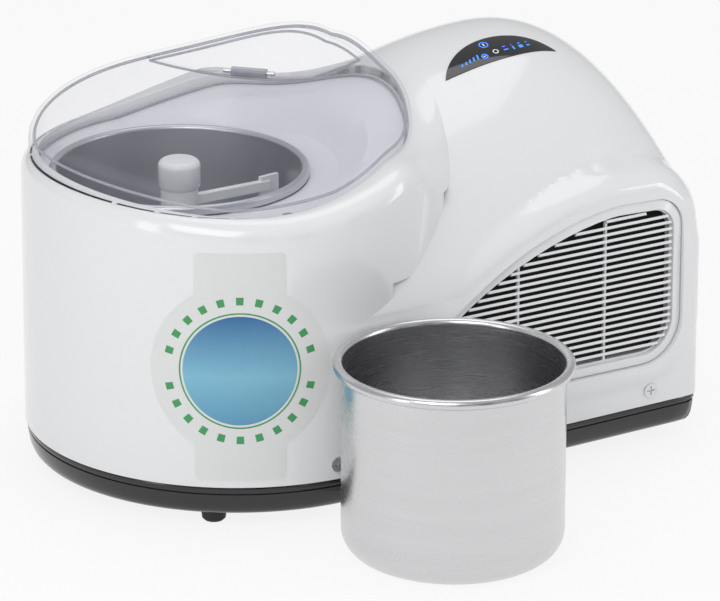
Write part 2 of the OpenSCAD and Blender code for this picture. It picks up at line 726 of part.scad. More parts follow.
module paddle_knob() in_frame() color([0.96, 0.96, 0.98]) translate([bowl_x, 0, square_top + 4.2])
    difference() {
        rotate_extrude() polygon([[0, 0], [hub_r - 1, 0], [hub_r, 1.5], [hub_r, 14],
            [hub_r - 1.5, 17], [hub_r - 4, 18.5], [0, 19]]);
        translate([0, 0, -1]) cylinder(r = 2.6, h = stud_top - square_top - 2, $fn = 32);
    }

// --- cooling -------------------------------------------------------------------------------

can_at = [188, 38];
can_z = floor_z + 17;            // underside of the can
can_foot_r = can_r + 5;          // distance of the feet from the can's axis
can_feet = [for (a = [45:90:315]) can_at + can_foot_r * [cos(a), sin(a)]];

module compressor() in_frame() color([0.06, 0.06, 0.07]) translate([can_at[0], can_at[1], 0]) {
    translate([0, 0, can_z]) rotate_extrude() polygon(concat(
        [[0, 0], [can_r - 18, 0]],
        [for (a = [-80:20:0]) [can_r - 18 + 18 * cos(a), 18 + 18 * sin(a)]],
        [[can_r, can_h * 0.52], [can_r + 2.5, can_h * 0.53], [can_r + 2.5, can_h * 0.56],
            [can_r - 1, can_h * 0.57]],
        [for (a = [0:15:90]) [can_r - 31 + 30 * cos(a), can_h - 30 + 30 * sin(a)]],
        [[0, can_h]]
    ));
    for (a = [45:90:315]) rotate([0, 0, a]) translate([0, 0, can_z]) difference() {
        union() {
            translate([can_r - 30, -11, 0]) cube([can_foot_r - can_r + 30, 22, 3]);
            translate([can_foot_r, 0, 0]) cylinder(r = 11, h = 3);
        }
        translate([can_foot_r, 0, -1]) cylinder(r = 5.2, h = 5);
    }
    translate([-can_r - 6, 20, can_z + can_h * 0.5]) rotate([0, 90, 0]) cylinder(r = 4, h = 14);
    translate([-14, -can_r - 6, can_z + can_h * 0.35]) rotate([-90, 0, 0]) cylinder(r = 4, h = 14);
}

module compressor_mounts() in_frame() color([0.08, 0.08, 0.08])
    for (p = can_feet) translate([p[0], p[1], floor_z + 3]) difference() {
        union() {
            cylinder(r = 9, h = can_z - floor_z - 3);
            cylinder(r = 5, h = can_z - floor_z);
            translate([0, 0, can_z - floor_z]) cylinder(r = 8, h = 2);
        }
        translate([0, 0, 3]) cylinder(r = 2.5, h = 40, $fn = 32);
    }

module compressor_terminal_cover() in_frame() color([0.12, 0.12, 0.13])
    translate([can_at[0], can_at[1], can_z + 45]) difference() {
        translate([-22, can_r - 16, 0]) cube([44, 28, 42]);
        translate([0, 0, -1]) cylinder(r = can_r + 3, h = 60);
    }

condenser_low = [104, -grille_y + 14, floor_z + 20];
condenser_size = [132, 24, 116];
fan_mid = [condenser_low[0] + condenser_size[0] / 2, 0, condenser_low[2] + condenser_size[2] / 2];
shroud_y = condenser_low[1] + condenser_size[1];

module condenser() in_frame() color([0.1, 0.1, 0.11]) {
    translate(condenser_low) {
        for (x = [0, condenser_size[0] - 3]) translate([x, 0, -20])
            cube([3, condenser_size[1], condenser_size[2] + 20]);
        for (x = [6:4:condenser_size[0] - 6]) translate([x, 1, 2])
            cube([0.6, condenser_size[1] - 2, condenser_size[2] - 4]);
        for (z = [12:18:condenser_size[2] - 8]) for (y = [6, condenser_size[1] - 6])
            translate([-4, y, z]) rotate([0, 90, 0])
                cylinder(r = pipe_r, h = condenser_size[0] + 8, $fn = 24);
    }
}

module fan_shroud() in_frame() color([0.12, 0.12, 0.13]) difference() {
    union() {
        translate([condenser_low[0], shroud_y, condenser_low[2]])
            cube([condenser_size[0], 2, condenser_size[2]]);
        translate([fan_mid[0], shroud_y, fan_mid[2]]) rotate([-90, 0, 0])
            cylinder(r = fan_r + 4, h = 26);
    }
    translate([fan_mid[0], shroud_y - 1, fan_mid[2]]) rotate([-90, 0, 0])
        cylinder(r = fan_r + 1.5, h = 23);
    translate([fan_mid[0], shroud_y + 20, fan_mid[2]]) rotate([-90, 0, 0]) difference() {
        cylinder(r = fan_r + 1.5, h = 10);
        cylinder(r = 18, h = 10);
        for (a = [0:90:270]) rotate([0, 0, a + 45]) translate([10, -4, 0]) cube([fan_r, 8, 10]);
    }
    translate([fan_mid[0], shroud_y - 1, fan_mid[2]]) rotate([-90, 0, 0])
        cylinder(r = 2.6, h = 40, $fn = 32);
}

module fan_motor() in_frame() color([0.3, 0.3, 0.32])
    translate([fan_mid[0], shroud_y + 26, fan_mid[2]]) rotate([-90, 0, 0]) difference() {
        cylinder(r = 17, h = 12);
        translate([0, 0, -1]) cylinder(r = 2.6, h = 10, $fn = 32);
    }

module fan_impeller() in_frame() color([0.15, 0.15, 0.16])
    translate([fan_mid[0], shroud_y + 3, fan_mid[2]]) rotate([-90, 0, 0]) {
        cylinder(r = 15, h = 14);
        cylinder(r = 2.5, h = 30, $fn = 32);
        for (a = [0:60:300]) rotate([0, 0, a]) translate([13, 0, 7]) rotate([32, 0, 0])
            translate([0, -9, -0.8]) cube([fan_r - 14.5, 18, 1.6]);
    }

drier_at = [84, -68];
drier_low = 46;
drier_h = 70;
module filter_drier() in_frame() color([0.72, 0.47, 0.3])
    translate([drier_at[0], drier_at[1], drier_low]) rotate_extrude() polygon([[0, -8], [3, -8],
        [3.5, 0], [9, 5], [9, drier_h - 5], [3.5, drier_h], [3, drier_h + 8], [0, drier_h + 8]]);

condenser_in = [condenser_low[0] - 4, condenser_low[1] + condenser_size[1] - 6, condenser_low[2] + 12 + 5 * 18];
condenser_out = [condenser_low[0] - 4, condenser_low[1] + condenser_size[1] - 6, condenser_low[2] + 12];
stub_out = [can_at[0] - can_r - 6, can_at[1] + 20, can_z + can_h * 0.5];
stub_in = [can_at[0] - 14, can_at[1] - can_r - 6, can_z + can_h * 0.35];

module discharge_pipe() in_frame() color([0.72, 0.45, 0.28])
    pipe([stub_out, stub_out - [10, 0, 0], [stub_out[0] - 10, stub_out[1], condenser_in[2] + 22],
        [stub_out[0] - 10, condenser_in[1], condenser_in[2] + 22],
        [condenser_in[0] - 8, condenser_in[1], condenser_in[2] + 22],
        [condenser_in[0] - 8, condenser_in[1], condenser_in[2]], condenser_in], pipe_r);

module liquid_pipe() in_frame() color([0.72, 0.45, 0.28])
    pipe([condenser_out, [drier_at[0], condenser_out[1], condenser_out[2]],
        [drier_at[0], condenser_out[1], drier_low - 16],
        [drier_at[0], drier_at[1], drier_low - 16],
        [drier_at[0], drier_at[1], drier_low - 8]], pipe_r);

coil_in = [bowl_x + coil_r, 0, coil_low];
coil_out = [bowl_x + coil_r, 0, coil_low + coil_turns * coil_pitch];

module capillary_tube() in_frame() color([0.76, 0.5, 0.32]) {
    x = drier_at[0];
    top = drier_low + drier_h + 8;
    pipe([[x, drier_at[1], top], [x, drier_at[1], top + 6], [x, -8, top + 6],
        [x, -8, coil_low - 6], [coil_in[0], -8, coil_low - 6],
        [coil_in[0], -8, coil_low], coil_in], 1.2);
}

module suction_pipe() in_frame() color([0.72, 0.45, 0.28]) {
    x = drier_at[0] + 8;
    y = stub_in[1] - 10;
    pipe([coil_out, coil_out + [0, 10, 0], [x, 10, coil_out[2]], [x, y, coil_out[2]],
        [x, y, stub_in[2]], [stub_in[0], y, stub_in[2]], stub_in], pipe_r);
}

// --- electrics -----------------------------------------------------------------------------

board_x = 98;
board_spots = [[board_x, 62], [board_x, 108]];
board_low = floor_z + 18;

module board_posts() in_frame() color([0.85, 0.85, 0.8])
    for (p = board_spots) translate([p[0], p[1], floor_z + 7]) cylinder(r = 4, h = board_low - floor_z - 7, $fn = 24);

module control_board() in_frame() color([0.05, 0.3, 0.15]) translate([board_x - 4, 54, board_low]) {
    cube([1.6, 62, 86]);
    cube([12, 62, 1.6]);
    translate([1.6, 6, 8]) cube([12, 20, 18]);
    translate([1.6, 34, 8]) cube([14, 14, 14]);
    for (z = [36:14:64]) translate([1.6, 10, z]) cube([9, 12, 8]);
    for (z = [40, 60]) translate([1.6, 42, z]) rotate([0, 90, 0]) cylinder(r = 5, h = 12, $fn = 32);
}

gland_y = 84;
gland_z = base_z + 11;
gland_bore_r = 3.75;
module cord_gland() in_frame() color([0.05, 0.05, 0.05])
    translate([rear_x - 4, gland_y, gland_z]) rotate([0, 90, 0]) difference() {
        union() {
            translate([0, 0, -12]) cylinder(r = 6.8, h = 12);
            cylinder(r = 8, h = 3);
        }
        translate([0, 0, -20]) cylinder(r = gland_bore_r, h = 40);
    }

// --- lid -----------------------------------------------------------------------------------

module lid_body_solid(r, drop, low) {
    steps = 96;
    edge = 3;
    rings = concat(
        [disc_ring(lid_x, r, steps, low)],
        [for (k = [[r, edge], [r - edge * 0.3, edge * 0.3], [r - edge, 0]]) disc_ring(lid_x, k[0],
            steps, function(x, y) lid_z(x, y) - drop - k[1])],
        [for (q = [0.9, 0.82, 0.74, 0.66, 0.5, 0.3]) disc_ring(lid_x, r * q, steps,
            function(x, y) lid_z(x, y) - drop)],
        [disc_ring(lid_x, r * 0.1, steps, function(x, y) lid_z(lid_x, 0) - drop)]
    );
    loft(rings);
}

flap_arc_r = 196;
flap_corner_r = 1.5;
module flap_shape(grow) {
    offset(r = flap_corner_r, $fn = 24) offset(delta = -flap_corner_r) intersection() {
        translate([lid_x, 0]) circle(lid_r - 6 + grow, $fn = 120);
        translate([lid_x, 0]) rotate([0, 0, spout_turn]) translate([flap_edge + flap_arc_r, 0])
            circle(flap_arc_r + grow, $fn = 180);
    }
}

hinge_r = 1.5;
hinge_fit = 0.08;                // running clearance round the hinge pin
hinge_mid = [lid_x + (flap_edge + 1) * cos(spout_turn), (flap_edge + 1) * sin(spout_turn)];
hinge_up = 3.4;                  // height of the hinge's axis over the lid's skin
hinge_z = lid_z(hinge_mid[0], hinge_mid[1]) + hinge_up;
hinge_half = 17;

module along_hinge() translate([hinge_mid[0], hinge_mid[1], hinge_z])
    rotate([0, 0, spout_turn]) rotate([90, 0, 0]) children();

// The lid carries two eyes on its top skin, and the flap's knuckle turns between them.
eye_out_r = 3;
eye_w = 5;

// The lid's foot stands a little higher where the deck climbs to the hood.
foot_rise = 2.5;
function foot_at(x, y) = deck_at(x, y) + gap + foot_rise * ease((x + 20) / 25);

module lid_skin() {
    difference() {
        lid_body_solid(lid_r, 0, function(x, y) foot_at(x, y));
        lid_body_solid(lid_r - lid_wall, lid_wall, function(x, y) deck_at(x, y) - 2);
        translate([0, 0, 150]) linear_extrude(height = 150) flap_shape(0.4);
    }
}

module lid_eyes() {
    for (s = [-1, 1]) along_hinge() translate([0, 0, s * (hinge_half - eye_w / 2) - eye_w / 2])
        difference() {
            union() {
                cylinder(r = eye_out_r, h = eye_w, $fn = 32);
                translate([-eye_out_r - 3, -hinge_up - 1, 0])
                    cube([eye_out_r + 1.3, hinge_up + 1, eye_w]);
            }
            translate([0, 0, -1]) cylinder(r = hinge_r + 0.05, h = eye_w + 2, $fn = 32);
        }
}

module lid() in_frame() color([0.85, 0.87, 0.92, 0.45]) one_skin() {
    lid_skin();
    lid_eyes();
}

module lid_flap() in_frame() color([0.85, 0.87, 0.92, 0.45]) {
    knuckle = 2 * (hinge_half - eye_w - gap);
    one_skin() intersection() {
        translate([0, 0, 150]) linear_extrude(height = 150) flap_shape(-0.4);
        difference() {
            lid_body_solid(lid_r, 0, function(x, y) 180);
            lid_body_solid(lid_r, 2.2, function(x, y) 179);
        }
    }
    along_hinge() translate([0, 0, -knuckle / 2]) difference() {
        union() {
            cylinder(r = eye_out_r, h = knuckle, $fn = 32);
            translate([0, -hinge_up - 0.5, 0]) cube([eye_out_r + 2, hinge_up + 1.5, knuckle]);
        }
        translate([0, 0, -1]) cylinder(r = hinge_r + hinge_fit, h = knuckle + 2, $fn = 32);
    }
}

module flap_hinge_pin() in_frame() color([0.8, 0.8, 0.82])
    along_hinge() translate([0, 0, -hinge_half]) cylinder(r = hinge_r, h = 2 * hinge_half, $fn = 24);

magnet_turn = 262;
magnet_r = 4;
magnet_out = lid_r - lid_wall - magnet_r - 0.3;
magnet_at = [lid_x + magnet_out * cos(magnet_turn), magnet_out * sin(magnet_turn)];
magnet_z = deck_at(magnet_at[0], magnet_at[1]);
module lid_magnet() in_frame() color([0.3, 0.3, 0.32])
    translate([magnet_at[0], magnet_at[1], magnet_z + 0.9]) cylinder(r = magnet_r, h = 2.5, $fn = 32);

module reed_switch() in_frame() color([0.8, 0.8, 0.8])
    translate([magnet_at[0] - 7, magnet_at[1] - 2.5, deck_z - wall - 6.2]) cube([14, 5, 6]);

base_tray();
feet();
housing();
housing_screws();
front_grille();
back_grille();
control_window();
display_board();
front_label();
fixed_bowl();
bowl_seal();
evaporator_coil();
bowl_insulation();
gearbox_case();
gearbox_cover();
gearbox_screws();
shaft_bush();
shaft_seal();
drive_shaft();
output_gear();
layshaft_gear();
motor_stator();
motor_winding();
motor_bridge();
motor_rotor();
paddle();
paddle_knob();
compressor();
compressor_mounts();
compressor_terminal_cover();
condenser();
fan_shroud();
fan_motor();
fan_impeller();
filter_drier();
discharge_pipe();
liquid_pipe();
capillary_tube();
suction_pipe();
control_board();
board_posts();
cord_gland();
lid();
lid_flap();
flap_hinge_pin();
lid_magnet();
reed_switch();
removable_bowl();
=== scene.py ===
from math import acos, atan2, cos, exp, hypot, pi, radians, sin, sqrt

import bmesh
import bpy
from mathutils import Matrix, Vector


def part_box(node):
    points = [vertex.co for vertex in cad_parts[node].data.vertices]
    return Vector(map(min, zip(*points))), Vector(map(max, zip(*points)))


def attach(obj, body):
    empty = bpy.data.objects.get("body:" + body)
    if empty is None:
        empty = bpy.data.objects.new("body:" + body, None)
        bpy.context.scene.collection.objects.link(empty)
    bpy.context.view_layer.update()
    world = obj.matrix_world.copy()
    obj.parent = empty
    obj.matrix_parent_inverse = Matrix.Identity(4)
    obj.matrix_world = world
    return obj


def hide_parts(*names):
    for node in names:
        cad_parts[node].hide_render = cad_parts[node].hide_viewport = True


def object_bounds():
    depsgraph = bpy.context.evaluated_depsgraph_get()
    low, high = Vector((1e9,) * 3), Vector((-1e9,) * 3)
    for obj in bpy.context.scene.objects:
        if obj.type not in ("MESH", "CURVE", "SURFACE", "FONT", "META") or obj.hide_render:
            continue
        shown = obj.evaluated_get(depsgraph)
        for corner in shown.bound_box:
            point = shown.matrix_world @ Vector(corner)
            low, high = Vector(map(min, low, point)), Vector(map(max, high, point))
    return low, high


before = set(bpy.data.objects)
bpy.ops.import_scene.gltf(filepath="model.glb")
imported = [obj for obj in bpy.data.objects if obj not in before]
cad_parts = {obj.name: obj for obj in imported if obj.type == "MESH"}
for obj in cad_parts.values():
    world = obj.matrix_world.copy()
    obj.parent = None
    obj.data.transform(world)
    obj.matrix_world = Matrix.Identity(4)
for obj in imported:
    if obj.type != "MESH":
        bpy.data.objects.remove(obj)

bl_info = {
    "name": "Ice cream maker",
    "version": (1, 0, 0),
    "blender": (4, 5, 0),
    "location": "View3D > Sidebar > Ice cream maker",
    "description": "Builds the finished surfaces of a compressor ice cream maker",
    "category": "Object",
}

CAD_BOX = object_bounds()
MM = 0.001


def middle(node):
    low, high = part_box(node)
    return (Vector(low) + Vector(high)) / 2


# --- sizes the surfaces follow, in millimetres from the drum's axis --------------------------

DRUM_R = 138.0
REAR_X = 273.0
REAR_HALF_W = 130.0
REAR_CORNER_R = 12.0
SEAM_Z = 29.0
VALLEY_X, VALLEY_Z, NOSE_RISE = -45.0, 203.0, 10.0
CROWN_Z, REAR_ROUND, SPRING_Z = 258.0, 80.0, 132.0
CROWN_X = REAR_X - REAR_ROUND
FLANK_X, FLANK_HALF_W = 20.0, DRUM_R - 1
RIM_ROUND = 14.0
DECK_Z, DECK_STEP = 196.5, 8.0
LID_R, LID_X = 119.0, -13.0
LID_TOP_Z, LID_TILT_Y, LID_TILT_X = 224.0, 0.1, 0.084
SPOUT_RISE, SPOUT_TURN, FLAP_EDGE, FLAP_ARC_R = 22.0, radians(45), 73.0, 196.0
BOWL_X, BOWL_R = -43.0, 77.5
LOUVRE_LOW, LOUVRE_HIGH, LOUVRE_X0, LOUVRE_X1 = 67.0, 161.0, 48.0, 244.0
GRILLE_Y = 132.0
WINDOW_MID, WINDOW_HALF, WINDOW_DEEP = (172.0, -41.0), 42.0, 23.0
LABEL_TURN = radians(240)

AXIS = Vector((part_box("housing")[0][0] + DRUM_R * MM, middle("fixed_bowl")[1], 0))


def ease(t):
    t = min(max(t, 0.0), 1.0)
    return t * t * (3 - 2 * t)


def ridge_z(x):
    """Height of the body's ridge line along its length."""
    if x < VALLEY_X:
        return VALLEY_Z + NOSE_RISE * ((VALLEY_X - x) / (DRUM_R + VALLEY_X)) ** 2
    if x < CROWN_X:
        return VALLEY_Z + (CROWN_Z - VALLEY_Z) * ease((x - VALLEY_X) / (CROWN_X - VALLEY_X))
    return CROWN_Z - REAR_ROUND + sqrt(max(0, REAR_ROUND**2 - (min(x, REAR_X) - CROWN_X) ** 2))


def hood_w(x):
    """Half width of the hood, with the rear corner's rounding."""
    w = FLANK_HALF_W + (REAR_HALF_W - FLANK_HALF_W) * (x - FLANK_X) / (REAR_X - FLANK_X)
    into = max(0.0, x - (REAR_X - REAR_CORNER_R))
    return w - REAR_CORNER_R + sqrt(max(0, REAR_CORNER_R**2 - into**2))


def hood_z(x, y):
    """Height of the hood's arched skin."""
    u = min(abs(y) / hood_w(x), 1)
    return SPRING_Z + (ridge_z(x) - SPRING_Z) * (1 - u * u) ** 0.71


def top_z(x, y):
    """Height of the drum's top, which turns into the hood's skin towards the rear."""
    blend = 1.03 * ease((x - 40) / 90)
    return ridge_z(x) - blend * (ridge_z(x) - hood_z(x, y))


def deck_at(x, y):
    """Height of the deck in the lid's seat, flat round the bowl."""
    rise = max(0, top_z(x, y) - DECK_STEP - DECK_Z)
    return DECK_Z + rise * ease((hypot(x - BOWL_X, y) - 95) / 25)


def lid_z(x, y):
    """Height of the lid's outer skin, with the spout's swelling."""
    plane = LID_TOP_Z + LID_TILT_Y * y + LID_TILT_X * x
    low = max(plane, top_z(x, y) + 4 + 5 * ease((VALLEY_X - x) / 90))
    px = x - LID_X
    along = px * cos(SPOUT_TURN) + y * sin(SPOUT_TURN)
    turn = atan2(y, px) - SPOUT_TURN + radians(22)
    return low + SPOUT_RISE * ease((along - FLAP_EDGE) / 45) * exp(-((turn / radians(34)) ** 2))


def louvre_outline():
    """Outline of the louvres seen from the side, as (x, z) points."""
    cx = LOUVRE_X1 - 39
    a, b = cx - LOUVRE_X0, LOUVRE_HIGH - LOUVRE_LOW
    low_r, high_r = 20.0, 12.0
    tail = [radians(t) for t in range(0, 91, 5)]
    points = [(cx - a * cos(t) ** (2 / 1.55), LOUVRE_LOW + b * sin(t) ** (2 / 1.55)) for t in tail]
    for t in (radians(d) for d in range(90, -1, -10)):
        points.append((LOUVRE_X1 - high_r * (1 - cos(t)), LOUVRE_HIGH - high_r * (1 - sin(t)) - 1))
    for t in (radians(d) for d in range(0, -91, -10)):
        points.append((LOUVRE_X1 - low_r * (1 - cos(t)), LOUVRE_LOW + low_r * (1 + sin(t))))
    return points


OUTLINE = louvre_outline()


def outline_gap(x, z):
    """Distance from the louvres' outline, negative inside it."""
    best, inside = 1e9, False
    for (x0, z0), (x1, z1) in zip(OUTLINE, OUTLINE[1:] + OUTLINE[:1]):
        dx, dz = x1 - x0, z1 - z0
        length = dx * dx + dz * dz
        t = min(max(((x - x0) * dx + (z - z0) * dz) / length, 0), 1) if length else 0
        best = min(best, hypot(x - x0 - t * dx, z - z0 - t * dz))
        if (z0 > z) != (z1 > z) and x < x0 + (z - z0) * dx / dz:
            inside = not inside
    return -best if inside else best


# --- mesh helpers ----------------------------------------------------------------------------


def fresh():
    return bmesh.new()


def lay(name, bm, materials, smooth=True, sharp=35, to_metres=True):
    """Makes an object of a bmesh whose places are in millimetres from the drum's axis."""
    if to_metres:
        bmesh.ops.scale(bm, vec=(MM, MM, MM), verts=bm.verts)
        bmesh.ops.translate(bm, vec=AXIS, verts=bm.verts)
    mesh = bpy.data.meshes.new(name)
    bm.to_mesh(mesh)
    bm.free()
    for material in materials:
        mesh.materials.append(material)
    if smooth:
        mesh.shade_smooth()
        mesh.set_sharp_from_angle(angle=radians(sharp))
    piece = bpy.data.objects.new(name, mesh)
    bpy.context.scene.collection.objects.link(piece)
    return piece


def rings(steps, places, cap=False):
    """A skin through closed rings: each place takes an angle and gives a point."""
    bm = fresh()
    first = bmesh.ops.create_circle(bm, cap_ends=False, radius=1, segments=steps)["verts"]
    angle = {v: atan2(v.co.y, v.co.x) for v in first}
    edges = list(bm.edges)
    for v in first:
        v.co = places[0](angle[v])
    for place in places[1:]:
        grown = bmesh.ops.extrude_edge_only(bm, edges=edges)["geom"]
        new = {g for g in grown if isinstance(g, bmesh.types.BMVert)}
        edges = [g for g in grown if isinstance(g, bmesh.types.BMEdge) and new.issuperset(g.verts)]
        carried = {}
        for v in new:
            old = next(e.other_vert(v) for e in v.link_edges if e.other_vert(v) not in new)
            carried[v] = angle[old]
            v.co = place(carried[v])
        angle = carried
    if cap:
        bmesh.ops.contextual_create(bm, geom=edges)
    bmesh.ops.remove_doubles(bm, verts=bm.verts, dist=0.002)
    bmesh.ops.recalc_face_normals(bm, faces=bm.faces)
    return bm


def patch(across, along, place):
    """A grid whose points are placed by a function of two shares from 0 to 1."""
    bm = fresh()
    bmesh.ops.create_grid(bm, x_segments=across, y_segments=along, size=0.5)
    for v in bm.verts:
        v.co = place(v.co.x + 0.5, v.co.y + 0.5)
    bmesh.ops.remove_doubles(bm, verts=bm.verts, dist=0.002)
    bmesh.ops.recalc_face_normals(bm, faces=bm.faces)
    return bm


def turned(profile, steps=128, centre=(0, 0)):
    """A closed body of revolution from (radius, height) points."""
    bm = fresh()
    verts = [bm.verts.new((r, 0, z)) for r, z in profile]
    edges = [bm.edges.new(pair) for pair in zip(verts, verts[1:])]
    bmesh.ops.spin(
        bm, geom=verts + edges, cent=(0, 0, 0), axis=(0, 0, 1), angle=2 * pi, steps=steps,
        use_merge=True, use_duplicate=False,
    )
    bmesh.ops.remove_doubles(bm, verts=bm.verts, dist=0.002)
    bmesh.ops.recalc_face_normals(bm, faces=bm.faces)
    bmesh.ops.translate(bm, vec=(centre[0], centre[1], 0), verts=bm.verts)
    return bm


def arc(cx, cz, r, start, end, count=8):
    """Points of a round stretch of a profile, between two angles in degrees."""
    angles = [radians(start + (end - start) * k / count) for k in range(count + 1)]
    return [(cx + r * cos(a), cz + r * sin(a)) for a in angles]


def into(bm, other):
    """Adds another bmesh to the first."""
    spare = bpy.data.meshes.new("spare")
    other.to_mesh(spare)
    other.free()
    bm.from_mesh(spare)
    bpy.data.meshes.remove(spare)
    return bm


def cut(bm, cutters, operation="DIFFERENCE"):
    """The bmesh less the closed cutters, or with INTERSECT what it shares with them."""
    body = lay("body", bm, [], smooth=False, to_metres=False)
    tools = [lay("tool", c, [], smooth=False, to_metres=False) for c in cutters]
    for tool in tools:
        less = body.modifiers.new("less", "BOOLEAN")
        less.operation, less.solver, less.object = operation, "EXACT", tool
    bpy.context.view_layer.update()
    shown = body.evaluated_get(bpy.context.evaluated_depsgraph_get())
    out = fresh()
    out.from_mesh(shown.to_mesh())
    shown.to_mesh_clear()
    for o in [body] + tools:
        bpy.data.objects.remove(o)
    return out


def slab(points, y0, y1):
    """A closed plate of an (x, z) outline, from y0 to y1."""
    bm = fresh()
    face = bm.faces.new([bm.verts.new((x, y0, z)) for x, z in points])
    grown = bmesh.ops.extrude_face_region(bm, geom=[face])["geom"]
    bmesh.ops.translate(
        bm, vec=(0, y1 - y0, 0), verts=[g for g in grown if isinstance(g, bmesh.types.BMVert)]
    )
    bmesh.ops.recalc_face_normals(bm, faces=bm.faces)
    return bm


def grown_outline(grow):
    """The louvres' outline, moved outwards."""
    out = []
    count = len(OUTLINE)
    for i, (x, z) in enumerate(OUTLINE):
        (xa, za), (xb, zb) = OUTLINE[i - 1], OUTLINE[(i + 1) % count]
        dx, dz = xb - xa, zb - za
        length = hypot(dx, dz)
        out.append((x - grow * dz / length, z + grow * dx / length))
    return out


# --- materials -------------------------------------------------------------------------------


class Value:
    """A number socket in a node tree, with arithmetic that adds Math nodes."""

    def __init__(self, maker, socket):
        self.maker, self.socket = maker, socket

    def _math(self, operation, a, b):
        return self.maker.node("ShaderNodeMath", {"operation": operation}, {0: a, 1: b})

    def __add__(self, other):
        return self._math("ADD", self, other)

    def __radd__(self, other):
        return self._math("ADD", other, self)

    def __sub__(self, other):
        return self._math("SUBTRACT", self, other)

    def __rsub__(self, other):
        return self._math("SUBTRACT", other, self)

    def __mul__(self, other):
        return self._math("MULTIPLY", self, other)

    def __rmul__(self, other):
        return self._math("MULTIPLY", other, self)

    def __truediv__(self, other):
        return self._math("DIVIDE", self, other)


class Finish:
    """A material and the nodes that are added to it."""

    def __init__(self, name, **shader):
        self.material = bpy.data.materials.new(name)
        self.material.use_nodes = True
        self.tree = self.material.node_tree
        self.shader = self.tree.nodes["Principled BSDF"]
        self.point = self.node("ShaderNodeTexCoord", {}, {}, "Object")
        for key, value in shader.items():
            self.set(key.replace("_", " "), value)

    def set(self, socket, value):
        target = self.shader.inputs[socket]
        if isinstance(value, Value):
            self.tree.links.new(value.socket, target)
        elif isinstance(value, tuple):
            target.default_value = (*value, 1) if len(value) == 3 else value
        else:
            target.default_value = value
        return self

    def node(self, kind, settings, sockets, output=0):
        made = self.tree.nodes.new(kind)
        for key, value in settings.items():
            if key == "stops":
                ramp = made.color_ramp
                for index, (place, colour) in enumerate(value):
                    while len(ramp.elements) <= index:
                        ramp.elements.new(1)
                    ramp.elements[index].position = place
                    ramp.elements[index].color = (*colour, 1)
            else:
                setattr(made, key, value)
        for key, value in sockets.items():
            if isinstance(value, Value):
                self.tree.links.new(value.socket, made.inputs[key])
            elif isinstance(value, tuple) and len(value) == 3 and made.inputs[key].type == "RGBA":
                made.inputs[key].default_value = (*value, 1)
            else:
                made.inputs[key].default_value = value
        return Value(self, made.outputs[output])

    def stretched(self, scale):
        return self.node("ShaderNodeMapping", {}, {"Vector": self.point, "Scale": scale})

    def noise(self, scale, detail=3, stretch=(1, 1, 1)):
        where = self.stretched(stretch) if stretch != (1, 1, 1) else self.point
        return self.node(
            "ShaderNodeTexNoise", {}, {"Vector": where, "Scale": scale, "Detail": detail}
        )

    def ramp(self, factor, stops):
        return self.node("ShaderNodeValToRGB", {"stops": stops}, {0: factor})

    def mix(self, factor, a, b):
        return self.node(
            "ShaderNodeMix", {"data_type": "RGBA"}, {0: factor, 6: a, 7: b}, 2
        )

    def bump(self, height, distance, strength=0.5):
        normal = self.node(
            "ShaderNodeBump", {}, {"Height": height, "Distance": distance, "Strength": strength}
        )
        return self.set("Normal", normal)


def varied(name, colour, roughness, spread=0.06, scale=40.0, **shader):
    """A moulded or cast finish: faint mottling in colour and gloss."""
    f = Finish(name, **shader)
    cloud = f.noise(scale)
    dark = tuple(c * (1 - spread) for c in colour)
    f.set("Base Color", f.mix(cloud, dark, colour))
    f.set("Roughness", cloud * 0.08 + (roughness - 0.04))
    return f


def gloss_white():
    colour = tuple(bpy.context.scene.icecream_look.body_colour)
    f = varied("gloss_white", colour, 0.16, 0.012, 9, Coat_Weight=0.5, Coat_Roughness=0.04)
    f.bump(f.noise(60, 2), 0.0001, 0.06)
    return f.material


def deck_white():
    f = varied("deck_white", (0.80, 0.80, 0.86), 0.22, 0.012, 9)
    return f.material


def tray_black():
    f = varied("tray_black", (0.012, 0.012, 0.014), 0.2, 0.3, 60, Coat_Weight=0.3, Coat_Roughness=0.1)
    f.bump(f.noise(900, 2), 0.0001, 0.15)
    return f.material


def rubber():
    f = varied("foot_rubber", (0.02, 0.02, 0.021), 0.62, 0.3, 120)
    f.bump(f.noise(1500, 2), 0.0001, 0.3)
    return f.material


def brushed(name, colour, roughness, stretch, depth=0.35):
    """A brushed metal: fine scratches along the two short axes of the stretch."""
    f = Finish(name, Metallic=1.0)
    grain = f.noise(900, 4, stretch)
    broad = f.noise(70, 2, stretch)
    dark = tuple(c * 0.82 for c in colour)
    f.set("Base Color", f.mix(grain * 0.6 + broad * 0.4, dark, colour))
    f.set("Roughness", grain * 0.14 + (roughness - 0.05))
    f.bump(grain, 0.0001, depth)
    return f.material


def clear_plastic():
    f = Finish("clear_plastic", Roughness=0.03, IOR=1.49, Coat_Weight=0.0)
    facing = f.node("ShaderNodeLayerWeight", {}, {"Blend": 0.42}, "Facing")
    f.set("Base Color", f.ramp(facing, [(0.0, (0.80, 0.81, 0.90)), (0.55, (0.60, 0.61, 0.66)),
                                        (1.0, (0.36, 0.37, 0.41))]))
    shade = f.ramp(facing, [(0.0, (0.04,) * 3), (0.5, (0.06,) * 3), (0.78, (0.16,) * 3),
                            (1.0, (0.75,) * 3)])
    f.set("Alpha", shade)
    return f.material


# Semi-opaque grey for the thin beads that paint a highlight line where the clear plastic's edges gather
# light; the flap's hinge knuckle is also given it.
def clear_edge():
    f = varied("clear_edge", (0.50, 0.51, 0.57), 0.12, 0.05, 30, Alpha=0.62)
    return f.material


# Near-black sheet behind the grilles' slats: painted shade standing in for the dark inside of the hood.
def painted_shade_backing():
    f = varied("painted_shade_backing", (0.006, 0.006, 0.007), 0.8, 0.3, 200)
    return f.material


def window_black():
    f = varied("window_black", (0.004, 0.004, 0.005), 0.06, 0.2, 20, Coat_Weight=0.6, Coat_Roughness=0.02)
    return f.material


